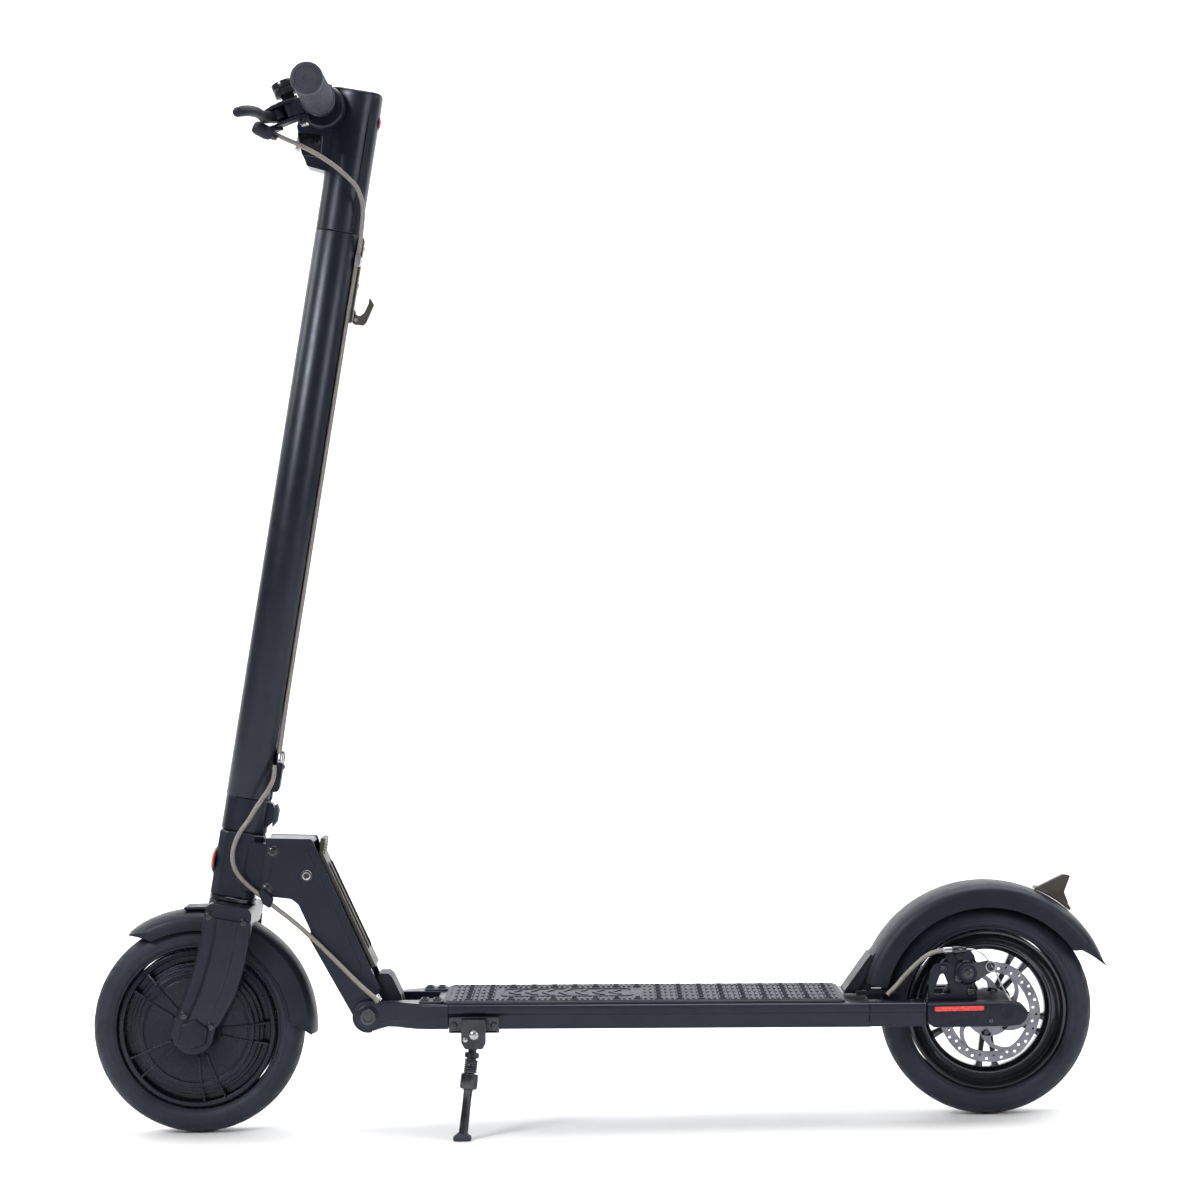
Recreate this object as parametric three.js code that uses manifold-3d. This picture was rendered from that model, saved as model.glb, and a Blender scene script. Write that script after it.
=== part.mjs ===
// Electric kick scooter, in millimetres: +X to the rear wheel, +Y to the rider's right, +Z up,
// with the origin on the ground below the middle of its box.
import * as THREE from "three";
import { mergeVertices } from "three/addons/utils/BufferGeometryUtils.js";
import Module from "manifold-3d";

const wasm = await Module();
wasm.setup();

// ---------- Driving dimensions ----------
const WHEEL_R = 113.4; // rolling radius of both 8.5 inch tyres
const TREAD_HALF = 9; // flat middle of the tread
const FRONT_X = -431.9; // front axle
const REAR_X = 415.6; // rear axle
const LEAN = THREE.MathUtils.degToRad(10.35); // steering axis, leaning back
const HEAD_TOP = new THREE.Vector3(-379.6, 0, 323.3); // steering axis at the head tube's top
const AXLE_X = -13.7; // front axle in the steering frame
const AXLE_Z = -215.9;
const STEM_R = 25;
const STEM_BOTTOM = 36.3;
const STEM_TOP = 652;
const HEAD_END = 804;
const BAR_X = -34.6; // handlebar axis in the steering frame
const BAR_Z = 780;
const BAR_R = 11.1;
const BAR_HALF = 212;
const GRIP_R = 16.85;
const GRIP_IN = 92;
const GRIP_OUT = 215;
const PIVOT_X = -247; // folding pivot
const PIVOT_Z = 124;
const NECK_IN = 27; // neck side plates, from the middle plane
const NECK_OUT = 33;
const EAR_IN = 36; // pivot ears of the front casting
const EAR_OUT = 43;
const DECK_PITCH = THREE.MathUtils.degToRad(1.03); // the deck falls a little to the rear
const DECK_FRONT = new THREE.Vector3(-160, 0, 112.6); // deck underside at its front seam
const DECK_LENGTH = 505;
const DECK_HALF = 76;
const DECK_TOP = 26;
const ROTOR_R = 54.6;
const GAP = 0.3; // between pieces that touch
const AROUND = 36; // sides of the round pieces that show most

// ---------- Solids ----------
// One closed manifold-3d solid from a geometry, turned face out if its outline ran the other way.
function asSolid(geometry) {
  const bare = geometry.index ? geometry.toNonIndexed() : geometry.clone();
  bare.deleteAttribute("normal");
  bare.deleteAttribute("uv");
  const merged = mergeVertices(bare, 1e-3);
  const build = (order) =>
    new wasm.Manifold(
      new wasm.Mesh({
        numProp: 3,
        vertProperties: merged.attributes.position.array,
        triVerts: order,
      }),
    );
  const order = new Uint32Array(merged.index.array);
  const made = build(order);
  return made.volume() < 0 ? build(order.slice().reverse()) : made;
}

function asGeometry(solid) {
  const mesh = solid.getMesh();
  const geometry = new THREE.BufferGeometry();
  geometry.setAttribute("position", new THREE.BufferAttribute(new Float32Array(mesh.vertProperties), 3));
  geometry.setIndex(new THREE.BufferAttribute(new Uint32Array(mesh.triVerts), 1));
  return geometry;
}

function join(...pieces) {
  return asGeometry(pieces.map(asSolid).reduce((all, one) => all.add(one)));
}

function cut(base, ...tools) {
  return asGeometry(tools.map(asSolid).reduce((left, tool) => left.subtract(tool), asSolid(base)));
}

function common(a, b) {
  return asGeometry(asSolid(a).intersect(asSolid(b)));
}

function box(x0, x1, y0, y1, z0, z1) {
  const geometry = new THREE.BoxGeometry(x1 - x0, y1 - y0, z1 - z0);
  return geometry.translate((x0 + x1) / 2, (y0 + y1) / 2, (z0 + z1) / 2);
}

// Both sides of the middle plane at once, from y0 to y1 and from -y1 to -y0.
function mirrored(make) {
  return join(make(1), make(-1));
}

// A cylinder along Y from y0 to y1, with its axis through (x, z).
function acrossY(r, x, z, y0, y1, sides = 20) {
  const geometry = new THREE.CylinderGeometry(r, r, Math.abs(y1 - y0), sides);
  return geometry.translate(x, (y0 + y1) / 2, z);
}

function alongX(r, x0, x1, y, z, sides = 20) {
  const geometry = new THREE.CylinderGeometry(r, r, x1 - x0, sides).rotateZ(Math.PI / 2);
  return geometry.translate((x0 + x1) / 2, y, z);
}

function alongZ(r, z0, z1, x = 0, y = 0, sides = 28) {
  const geometry = new THREE.CylinderGeometry(r, r, z1 - z0, sides).rotateX(Math.PI / 2);
  return geometry.translate(x, y, (z0 + z1) / 2);
}

function shapeOf(points) {
  return new THREE.Shape(points.map(([a, b]) => new THREE.Vector2(a, b)));
}

// An outline in the X-Z plane, as points or a Shape, given thickness from y0 to y1.
function plate(outline, y0, y1) {
  const shape = Array.isArray(outline) ? shapeOf(outline) : outline;
  const options = { depth: Math.abs(y1 - y0), bevelEnabled: false, curveSegments: 4 };
  const geometry = new THREE.ExtrudeGeometry(shape, options);
  return geometry.rotateX(Math.PI / 2).translate(0, Math.max(y0, y1), 0);
}

// An outline in the X-Y plane, given height from z0 to z1.
function slab(outline, z0, z1) {
  const shape = Array.isArray(outline) ? shapeOf(outline) : outline;
  const options = { depth: z1 - z0, bevelEnabled: false, curveSegments: 4 };
  return new THREE.ExtrudeGeometry(shape, options).translate(0, 0, z0);
}

function roundedRectangle(x0, x1, y0, y1, r) {
  const shape = new THREE.Shape();
  shape.moveTo(x0 + r, y0);
  shape.lineTo(x1 - r, y0);
  shape.absarc(x1 - r, y0 + r, r, -Math.PI / 2, 0);
  shape.lineTo(x1, y1 - r);
  shape.absarc(x1 - r, y1 - r, r, 0, Math.PI / 2);
  shape.lineTo(x0 + r, y1);
  shape.absarc(x0 + r, y1 - r, r, Math.PI / 2, Math.PI);
  shape.lineTo(x0, y0 + r);
  shape.absarc(x0 + r, y0 + r, r, Math.PI, 1.5 * Math.PI);
  return shape;
}

// A ring or drum turned about Y: points are (radius, y), closed on themselves or on the axis.
// The first facet is turned so that a flat lies at the bottom.
function turned(points, sides = AROUND) {
  const profile = points.map(([r, y]) => new THREE.Vector2(r, y));
  if (points[0][0] > 0) profile.push(profile[0].clone());
  return new THREE.LatheGeometry(profile, sides, Math.PI / sides);
}

// A round cord through hand-placed points.
function cord(points, r, sides = 8) {
  const path = new THREE.CatmullRomCurve3(points.map((p) => new THREE.Vector3(...p)));
  const section = new THREE.Shape();
  section.absarc(0, 0, r, 0, 2 * Math.PI);
  const steps = Math.min(50, Math.ceil(path.getLength() / 14));
  const curveSegments = sides / 2;
  return new THREE.ExtrudeGeometry(section, { steps, curveSegments, extrudePath: path, bevelEnabled: false });
}

// ---------- Materials ----------
function paint(color, roughness = 0.45, metalness = 0) {
  return new THREE.MeshStandardMaterial({ color, roughness, metalness });
}

const looks = {
  frame: paint(0x2b2d35, 0.42, 0.3),
  plastic: paint(0x24262c, 0.5),
  rubber: paint(0x26282e, 0.8),
  tyre: paint(0x2c2f38, 0.7),
  bronze: paint(0x4a463f, 0.4, 0.7),
  steel: paint(0xb8bac0, 0.3, 0.9),
  cable: paint(0x8d8578, 0.5, 0.3),
  red: paint(0xe0362c, 0.3),
  glass: paint(0x101216, 0.1),
  cell: paint(0x2f5f8c, 0.5),
  copper: paint(0xa5673f, 0.5, 0.6),
};

// ---------- Frame of the model ----------
const scooter = new THREE.Group();
const steering = new THREE.Group();
steering.position.copy(HEAD_TOP);
steering.rotation.y = LEAN;
const deck = new THREE.Group();
deck.position.copy(DECK_FRONT);
deck.rotation.y = DECK_PITCH;
const frontWheel = new THREE.Group();
frontWheel.position.set(FRONT_X, 0, WHEEL_R);
const rearWheel = new THREE.Group();
rearWheel.position.set(REAR_X, 0, WHEEL_R);
scooter.add(steering, deck, frontWheel, rearWheel);

// Every piece goes through asSolid once, so its surface is closed and faces out.
function add(group, name, geometry, material) {
  const mesh = new THREE.Mesh(asGeometry(asSolid(geometry)), material);
  mesh.name = name;
  group.add(mesh);
}

// ---------- Wheels ----------
const TREAD_R = WHEEL_R / Math.cos(Math.PI / AROUND); // so that a facet lies on the ground
const RIM_R = 85;

function tyre() {
  const half = [
    [RIM_R + 0.8, 18],
    [88, 22.5],
    [96, 25],
    [105, 23],
    [111.5, 16],
    [TREAD_R, TREAD_HALF],
  ];
  const other = half.map(([r, y]) => [r, -y]).reverse();
  return turned([...half, ...other], AROUND);
}

// The hub motor's turning shell: a rim outside, two side covers, and a hollow for the stator.
function hubMotorShell() {
  const outside = [
    [9, 30],
    [20, 33],
    [58, 33],
    [61.5, 28],
    [67, 26],
    [71, 20],
    [77, 20],
    [RIM_R, 18],
  ];
  const hollow = [
    [58, -22],
    [58, 22],
    [40, 26],
    [9, 26],
  ];
  const other = outside.map(([r, y]) => [r, -y]).reverse();
  const inside = turned([...hollow, [8, 26], [8, -26], [9, -26], [40, -26]], 24);
  return cut(turned([...outside, ...other], 28), inside);
}

function motorStator() {
  const drum = acrossY(55, 0, 0, -14, 14, 32);
  const axle = acrossY(6, 0, 0, -62, 62, 16);
  return join(drum, axle);
}

function rearRim() {
  const section = [
    [RIM_R, 18],
    [78, 18],
    [70, 12],
    [67, 12],
    [63, 8],
    [63, -8],
    [67, -12],
    [70, -12],
    [78, -18],
    [RIM_R, -18],
  ];
  const hub = turned([
    [7, -35.6],
    [16, -35.6],
    [16, -26],
    [24, -20],
    [24, 20],
    [16, 26],
    [16, 35],
    [7, 35],
  ], 24);
  const spokes = [];
  for (let pair = 0; pair < 5; pair++) {
    const angle = THREE.MathUtils.degToRad(54 + 72 * pair);
    for (const side of [-1, 1]) {
      spokes.push(box(22, 65, -7, 7, side * 6 - 2.5, side * 6 + 2.5).rotateY(-angle));
    }
  }
  return join(turned(section, 28), hub, ...spokes);
}

const ROTOR_Y = -37; // middle of the brake rotor
const ROTOR_HALF = 1; // half its thickness

function brakeRotor() {
  const track = turned([
    [43, ROTOR_Y - ROTOR_HALF],
    [ROTOR_R, ROTOR_Y - ROTOR_HALF],
    [ROTOR_R, ROTOR_Y + ROTOR_HALF],
    [43, ROTOR_Y + ROTOR_HALF],
  ], 32);
  const hub = turned([
    [8, ROTOR_Y - ROTOR_HALF],
    [26, ROTOR_Y - ROTOR_HALF],
    [26, ROTOR_Y + ROTOR_HALF],
    [8, ROTOR_Y + ROTOR_HALF],
  ], 24);
  const arms = [];
  for (let i = 0; i < 6; i++) {
    const arm = box(22, 46, ROTOR_Y - ROTOR_HALF, ROTOR_Y + ROTOR_HALF, -3, 3);
    arms.push(arm.rotateY(-THREE.MathUtils.degToRad(60 * i + 20)));
  }
  return join(track, hub, ...arms);
}

function rearAxle() {
  const shaft = acrossY(5.5, 0, 0, -71, 71, 16);
  const nuts = mirrored((side) => acrossY(9, 0, 0, side * 63.4, side * 71, 6));
  const spacers = mirrored((side) => acrossY(7.5, 0, 0, side * 38.4, side * 56.6, 16));
  return join(shaft, nuts, spacers);
}

add(frontWheel, "front_tyre", tyre(), looks.tyre);
add(frontWheel, "hub_motor_shell", hubMotorShell(), looks.frame);
add(rearWheel, "rear_tyre", tyre(), looks.tyre);
add(rearWheel, "rear_rim", rearRim(), looks.frame);
add(rearWheel, "brake_rotor", brakeRotor(), looks.steel);
add(rearWheel, "rear_axle", rearAxle(), looks.steel);

// ---------- Fork, in the steering frame ----------
const CROWN_TOP = -77;
const LEG_IN = 47;
const LEG_OUT = 60;

function forkLeg(side) {
  const outline = new THREE.Shape();
  outline.moveTo(-22, CROWN_TOP);
  outline.lineTo(-21.5, -115);
  outline.lineTo(-27, -167);
  outline.lineTo(-36, -211);
  outline.absarc(AXLE_X, AXLE_Z, 22.5, Math.PI * 0.93, Math.PI * 1.9);
  outline.lineTo(24, -174);
  outline.lineTo(30, -127);
  outline.lineTo(28, CROWN_TOP);
  return plate(outline, side * LEG_IN, side * LEG_OUT);
}

function fork() {
  const crown = cut(
    box(-22, 28, -LEG_OUT, LEG_OUT, -94, CROWN_TOP),
    ...[-1, 1].map((side) => box(-40, 40, -20, 20, -12, 12).rotateX(side * 0.6).translate(0, side * 63, -66)),
  );
  const steerer = alongZ(15, CROWN_TOP - 1, 46, 0, 0, 24);
  const solid = join(crown, steerer, forkLeg(1), forkLeg(-1));
  const guardSpace = acrossY(131.8, AXLE_X, AXLE_Z, -33, 33, 48);
  return cut(solid, guardSpace, acrossY(6.3, AXLE_X, AXLE_Z, -70, 70, 16));
}

// The hexagonal cap over each axle end.
function forkCover(side) {
  const cap = acrossY(16, AXLE_X, AXLE_Z, side * (LEG_OUT + GAP), side * 66.5, 6);
  return cut(cap, acrossY(8, AXLE_X, AXLE_Z, side * LEG_OUT, side * 63, 16));
}

// A wheel guard: a shallow channel turned about the axle, kept between two angles.
function guard(outerR, skirtR, half, from, to) {
  const wall = 2.6;
  const roof = 0.55 * half;
  const channel = turned([
    [outerR, -roof],
    [outerR, roof],
    [outerR - 7, half - 4],
    [skirtR, half],
    [skirtR, half - wall],
    [outerR - 9, half - 4 - wall],
    [outerR - wall, roof - 1],
    [outerR - wall, 1 - roof],
    [outerR - 9, 4 + wall - half],
    [skirtR, wall - half],
    [skirtR, -half],
    [outerR - 7, 4 - half],
  ], 48);
  const sector = new THREE.Shape();
  const [start, end] = [from, to].map(THREE.MathUtils.degToRad);
  sector.moveTo(0, 0);
  sector.lineTo(2 * outerR * Math.cos(start), 2 * outerR * Math.sin(start));
  sector.absarc(0, 0, 2 * outerR, start, end);
  return common(channel, plate(sector, -80, 80));
}

function frontFender() {
  const sweep = guard(127.5, 106, 31, -4, 125);
  const sectorBack = guard(127.5, 96, 31, -4, 50);
  const stay = box(-12, 15, -20, 20, 126.5, 130);
  return cut(join(sweep, sectorBack, stay), acrossY(125, 0, 0, -18, 18, 48));
}

add(steering, "fork", fork(), looks.frame);
add(steering, "fork_cover_left", forkCover(-1), looks.plastic);
add(steering, "fork_cover_right", forkCover(1), looks.plastic);
add(frontWheel, "front_fender", frontFender(), looks.plastic);
add(frontWheel, "motor_stator", motorStator(), looks.copper);

// ---------- Stem, in the steering frame ----------
function stemCollar() {
  const ring = alongZ(STEM_R - 0.4, 0, STEM_BOTTOM - GAP);
  const port = plate([[20, 34], [27, 34], [29.4, 28], [29.4, 13], [20, 2]], -9, 9);
  return cut(join(ring, port), alongZ(15.4, -1, 60, 0, 0, 24));
}

function chargeFlap() {
  return plate([[29.8, 33], [31.5, 33], [34.4, 27], [34.2, 14.6], [29.8, 8]], -9, 9);
}

const CABLE_Y = -8.8; // the cable lies in a groove at the back of the stem, a little to the left
const CABLE_R = 2.5;
const CABLE_WAY_R = 3.3; // what it passes is cut back to this

// The brake cable on the steering side: from the lever, down the back of the stem, to its guide.
const UPPER_ROUTE = [
  [-64, -90, 737], [-46, -82, 731], [-28, -72, 726], [-9, -60, 717], [4, -49, 709], [15, -39, 700],
  [22, -31, 688], [25, -25, 675], [25.8, -19, 657], [26, -13, 640], [24.7, CABLE_Y, 622],
  [24.4, CABLE_Y, 560], [24.4, CABLE_Y, 460], [24.4, CABLE_Y, 360], [24.4, CABLE_Y, 260],
  [24.4, CABLE_Y, 160], [25.5, -10, 100], [26.2, -14, 86],
];

function stemTube() {
  const tube = alongZ(STEM_R, STEM_BOTTOM, STEM_TOP - GAP);
  return cut(tube, alongZ(22, 0, 700, 0, 0, 32), cord(UPPER_ROUTE, CABLE_WAY_R));
}

// Three columns of round cells, shrink-wrapped.
function batteryPack() {
  const outline = new THREE.Shape();
  for (let i = 0; i < 3; i++) {
    const angle = THREE.MathUtils.degToRad(60 + 120 * i);
    const [x, y] = [10.7 * Math.cos(angle), 10.7 * Math.sin(angle)];
    outline.absarc(x, y, 9.6, angle - Math.PI / 3, angle + Math.PI / 3);
  }
  return slab(outline, 70, 535);
}

const HEAD_RISE = 700; // where the head starts to widen

function headCasting() {
  const round = alongZ(STEM_R - 0.2, STEM_TOP, HEAD_END);
  const front = [[-14, HEAD_RISE], [-20, HEAD_RISE + 8], [-32, HEAD_END], [10, HEAD_END], [10, HEAD_RISE]];
  const face = plate(front, -21, 21);
  const housing = plate(
    [[-20, 715], [-44, 717], [-47.5, 724], [-50, 727], [-60.5, 756], [-58, 790], [-20, 790]], -17, 17);
  const boss = acrossY(24, BAR_X, BAR_Z, -38, 38, 32);
  const solid = join(round, face, housing, boss);
  return cut(
    solid,
    acrossY(BAR_R + GAP, BAR_X, BAR_Z, -60, 60, 24),
    plate([[-70, 727], [-29, 727], [-31, 752], [-70, 752]], -30, 30),
    alongX(5.2, 17, 30, 0, 776, 16),
    slab(roundedRectangle(-29, 20, -17, 17, 8), 801, 810),
    cord(UPPER_ROUTE, CABLE_WAY_R),
  );
}

function headlightLens() {
  return plate([[-50, 727 + GAP], [-29.5, 727 + GAP], [-31.4, 752 - GAP], [-59, 752 - GAP]], -17, 17);
}

function display() {
  return slab(roundedRectangle(-28.7, 19.7, -16.7, 16.7, 7.7), 801 + GAP, 805.5);
}

function powerButton() {
  return alongX(4.8, 19.5, 27, 0, 776, 16);
}

function handlebar() {
  const bar = acrossY(BAR_R, BAR_X, BAR_Z, -BAR_HALF, BAR_HALF, 24);
  return cut(bar, acrossY(8.6, BAR_X, BAR_Z, -230, 230, 20));
}

function grip(side) {
  const sleeve = acrossY(GRIP_R, BAR_X, BAR_Z, side * GRIP_IN, side * GRIP_OUT, 32);
  return cut(sleeve, acrossY(BAR_R + GAP, BAR_X, BAR_Z, side * 80, side * (BAR_HALF + GAP), 24));
}

function hookBracket() {
  const strip = box(25.3, 29.4, -7, 7, 559, STEM_TOP);
  const clamp = box(24, 29.4, -15, -4, 619, 631);
  return cut(join(strip, clamp), cord(UPPER_ROUTE, CABLE_WAY_R), alongZ(STEM_R + GAP, 500, 700));
}

function stemHook() {
  return plate([
    [31.5, 557.6], [42.1, 557.9], [44, 560], [49.9, 582.2], [43.7, 589.6], [44, 582],
    [41, 571.5], [36.4, 567.4], [32.6, 568.3], [30.6, 572], [30.2, 561],
  ], -3, 3);
}

add(steering, "stem_collar", stemCollar(), looks.frame);
add(steering, "charge_flap", chargeFlap(), looks.rubber);
add(steering, "stem_tube", stemTube(), looks.frame);
add(steering, "battery_pack", batteryPack(), looks.cell);
add(steering, "head_casting", headCasting(), looks.frame);
add(steering, "headlight_lens", headlightLens(), looks.glass);
add(steering, "display", display(), looks.glass);
add(steering, "power_button", powerButton(), looks.red);
add(steering, "handlebar", handlebar(), looks.frame);
add(steering, "grip_left", grip(-1), looks.rubber);
add(steering, "grip_right", grip(1), looks.rubber);
add(steering, "hook_bracket", hookBracket(), looks.bronze);
add(steering, "stem_hook", stemHook(), looks.bronze);

// ---------- Handlebar controls, in the steering frame ----------
// The brake lever works in a plane that dips forwards: out is ahead of the bar, up is square to it.
const LEVER_DIP = THREE.MathUtils.degToRad(21.5 + 10.35);
const control = new THREE.Group();
control.position.set(BAR_X, 0, BAR_Z);
control.rotation.y = Math.PI - LEVER_DIP;
control.scale.z = -1;
steering.add(control);

function brakePerch() {
  const ring = acrossY(16.5, 0, 0, -91.5, -76, 24);
  const arm = box(10, 34, -91.5, -78, -9, 9);
  const rails = [-1, 1].map((side) => slab(
    [[20, -76], [52, -80], [57, -90], [50, -98], [36, -96], [20, -91.5]], side * 8 - 1.5, side * 8 + 1.5));
  const nose = slab([[46, -79], [60, -80], [72, -88], [74, -104], [60, -106], [50, -98]], -16, -8);
  const solid = join(ring, arm, ...rails, nose);
  const slot = slab([[35, -70], [80, -70], [80, -110], [35, -110]], -6.5, 6.5);
  return cut(solid, slot, acrossY(BAR_R + GAP, 0, 0, -100, -60, 24));
}

function brakeLever() {
  const blade = new THREE.Shape();
  blade.moveTo(40, -84);
  blade.lineTo(50, -80);
  blade.lineTo(58, -88);
  blade.quadraticCurveTo(64, -110, 66, -140);
  blade.quadraticCurveTo(71, -168, 83, -186);
  blade.lineTo(80, -193);
  blade.lineTo(74, -192);
  blade.quadraticCurveTo(61, -170, 57, -140);
  blade.quadraticCurveTo(54, -112, 40, -94);
  return slab(blade, -5.5, 5.5);
}

function bell() {
  const dome = new THREE.CylinderGeometry(12.5, 13, 16, 24).rotateX(Math.PI / 2).translate(29, -66, 27.6);
  const foot = box(22, 36, -72, -60, 9, 21);
  const strap = acrossY(15.5, 0, 0, -73, -60, 24);
  const stalk = box(8, 34, -72, -62, 4, 13);
  return cut(join(dome, foot, strap, stalk), acrossY(BAR_R + GAP, 0, 0, -100, -50, 24));
}

function bellStriker() {
  return slab([[20, -58], [30, -56], [44, -56], [44, -59.5], [20, -59.5]], 14, 18);
}

function throttleBody() {
  const ring = acrossY(17, 0, 0, 72, 91, 24);
  const block = box(-4, 20, 60, 91, -13, -2);
  return cut(join(ring, block), acrossY(BAR_R + GAP, 0, 0, 40, 120, 24));
}

function throttlePaddle() {
  const ring = acrossY(14.5, 0, 0, 48, 59.5, 24);
  const thumb = slab([[8, 48], [8, 59.5], [24, 59.5], [36, 76], [44, 74], [34, 50], [26, 48]], -14, -5);
  return cut(join(ring, thumb), acrossY(BAR_R + GAP, 0, 0, 40, 120, 24));
}

add(control, "brake_perch", brakePerch(), looks.plastic);
add(control, "brake_lever", brakeLever(), looks.plastic);
add(control, "bell", bell(), looks.plastic);
add(control, "bell_striker", bellStriker(), looks.plastic);
add(control, "throttle_body", throttleBody(), looks.plastic);
add(control, "throttle_paddle", throttlePaddle(), looks.plastic);

add(steering, "upper_cable", cord(UPPER_ROUTE, CABLE_R), looks.cable);

// ---------- Neck and lock lever ----------
function headTube() {
  const outline = [];
  for (const [x, y] of [[24, 14], [14, 24.5], [-14, 24.5], [-24.3, 12]]) outline.push([x, y]);
  for (const [x, y] of [[-24.3, -12], [-14, -24.5], [14, -24.5], [24, -14]]) outline.push([x, y]);
  const tube = slab(outline, -71, -2);
  const block = box(10, 47, 0.4 - NECK_IN, NECK_IN - 0.4, -62, -9);
  const bore = alongZ(19, -72, -6, 0, 0, 24);
  return cut(join(tube, block), bore, alongZ(15.6, -80, 10, 0, 0, 24));
}

function headsetBearing() {
  const ring = alongZ(25.5, -76.6, -71 - GAP, 0, 0, 32);
  const spigot = alongZ(18.6, -72, -58, 0, 0, 24);
  return cut(join(ring, spigot), alongZ(15.4, -90, 0, 0, 0, 24));
}

function frontReflector() {
  return alongX(14, -28, -24.3 - GAP, 0, -36, 28);
}

add(steering, "head_tube", headTube(), looks.frame);
add(steering, "headset_bearing", headsetBearing(), looks.steel);
add(steering, "front_reflector", frontReflector(), looks.red);

const neck = new THREE.Group();
scooter.add(neck);
const LEVER_PIN = [-310, 275.2];
const SLOPE = Math.atan2(-57.9, 131); // the neck's rear face, from upright

// A point by the rear face of the neck: off it to the rear, and up along it, from the folding pivot.
function alongNeck(off, up) {
  const [c, s] = [Math.cos(SLOPE), Math.sin(SLOPE)];
  return [PIVOT_X + off * c + up * s, PIVOT_Z - off * s + up * c];
}

function neckFrame() {
  const outline = new THREE.Shape();
  outline.moveTo(-354.6, 316.3);
  outline.lineTo(-301, 305.5);
  outline.lineTo(-232.6, 149.1);
  outline.absarc(PIVOT_X, PIVOT_Z, 15, 0.2, -Math.PI * 0.9, true);
  outline.lineTo(-303.9, 208.8);
  outline.lineTo(-319.7, 244.6);
  outline.quadraticCurveTo(-322, 249.5, -328, 250);
  outline.lineTo(-363.6, 255.5);
  const sides = mirrored((side) => plate(outline, side * NECK_IN, side * NECK_OUT));
  const inner = [[-337, 252], [-326, 251], [-321, 246.5], [-293, 184]];
  const web = plate([...inner, [-290, 185.5], [-319, 252], [-337, 255]], -28, 28);
  const sleeve = acrossY(10, PIVOT_X, PIVOT_Z, -28, 28, 20);
  const bores = [acrossY(5.3, PIVOT_X, PIVOT_Z, -60, 60, 16), acrossY(4.3, ...LEVER_PIN, -60, 60, 16)];
  return cut(join(sides, web, sleeve), ...bores);
}

function leverPin() {
  const shaft = acrossY(4, ...LEVER_PIN, -NECK_OUT - 1, NECK_OUT + 1, 16);
  const [under, over] = [NECK_OUT + GAP, NECK_OUT + 3];
  const heads = mirrored((side) => acrossY(6, ...LEVER_PIN, side * under, side * over, 16));
  return join(shaft, heads);
}

const LOCK_HALF = 25.4;

function lockLever() {
  const strip = [alongNeck(24.5, 44), alongNeck(28.5, 44), alongNeck(28.5, 181), alongNeck(24.5, 181)];
  const back = plate(strip, -LOCK_HALF, LOCK_HALF);
  const [tabX, tabZ] = alongNeck(24.5, 179);
  const hookedEnd = [[-0.5, -2], [4, -3], [7, 16], [1.5, 17]].map(([x, z]) => [tabX + x, tabZ + z]);
  const tab = plate(hookedEnd, -22, 22);
  const ear = new THREE.Shape();
  ear.moveTo(...alongNeck(26, 120));
  ear.lineTo(...alongNeck(26, 181));
  ear.absarc(...LEVER_PIN, 10, Math.PI * 0.5, Math.PI * 1.3);
  const ears = mirrored((side) => plate(ear, side * 21.5, side * LOCK_HALF));
  return cut(join(back, tab, ears), acrossY(4.3, ...LEVER_PIN, -60, 60, 16));
}

add(neck, "neck_frame", neckFrame(), looks.frame);
add(neck, "lever_pin", leverPin(), looks.steel);
add(neck, "lock_lever", lockLever(), looks.bronze);

// ---------- Deck, in the deck frame ----------
function deckExtrusion() {
  const section = [
    [-70, 0], [70, 0], [73, 4], [73, 15.5], [DECK_HALF, 18], [DECK_HALF, DECK_TOP - 1],
    [DECK_HALF - 1.5, DECK_TOP],
    [1.5 - DECK_HALF, DECK_TOP], [-DECK_HALF, DECK_TOP - 1], [-DECK_HALF, 18], [-73, 15.5], [-73, 4],
  ];
  const along = (points, x0, x1) => {
    const options = { depth: x1 - x0, bevelEnabled: false };
    const geometry = new THREE.ExtrudeGeometry(shapeOf(points), options);
    return geometry.rotateX(Math.PI / 2).rotateZ(Math.PI / 2).translate(x0, 0, 0);
  };
  return cut(
    along(section, 0, DECK_LENGTH),
    box(-10, 520, -45, 45, 3, 23),
    box(-10, 520, 49, 70, 3, 23),
    box(-10, 520, -70, -49, 3, 23),
    box(50, 250, -40, 40, -1, 4),
    box(446, 520, -46, 46, -5, 40),
  );
}

function bottomCover() {
  return slab(roundedRectangle(50 + GAP, 250 - GAP, GAP - 40, 40 - GAP, 3), 0.2, 3);
}

function deckMat() {
  return slab(roundedRectangle(-6, 420, -70, 70, 8), DECK_TOP + GAP, DECK_TOP + 3.2);
}

function controller() {
  return slab(roundedRectangle(60, 180, -38, 38, 4), 4, 21);
}

const FLOOR_END = -14; // where the floor under the folded neck meets the deck's front wall

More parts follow.
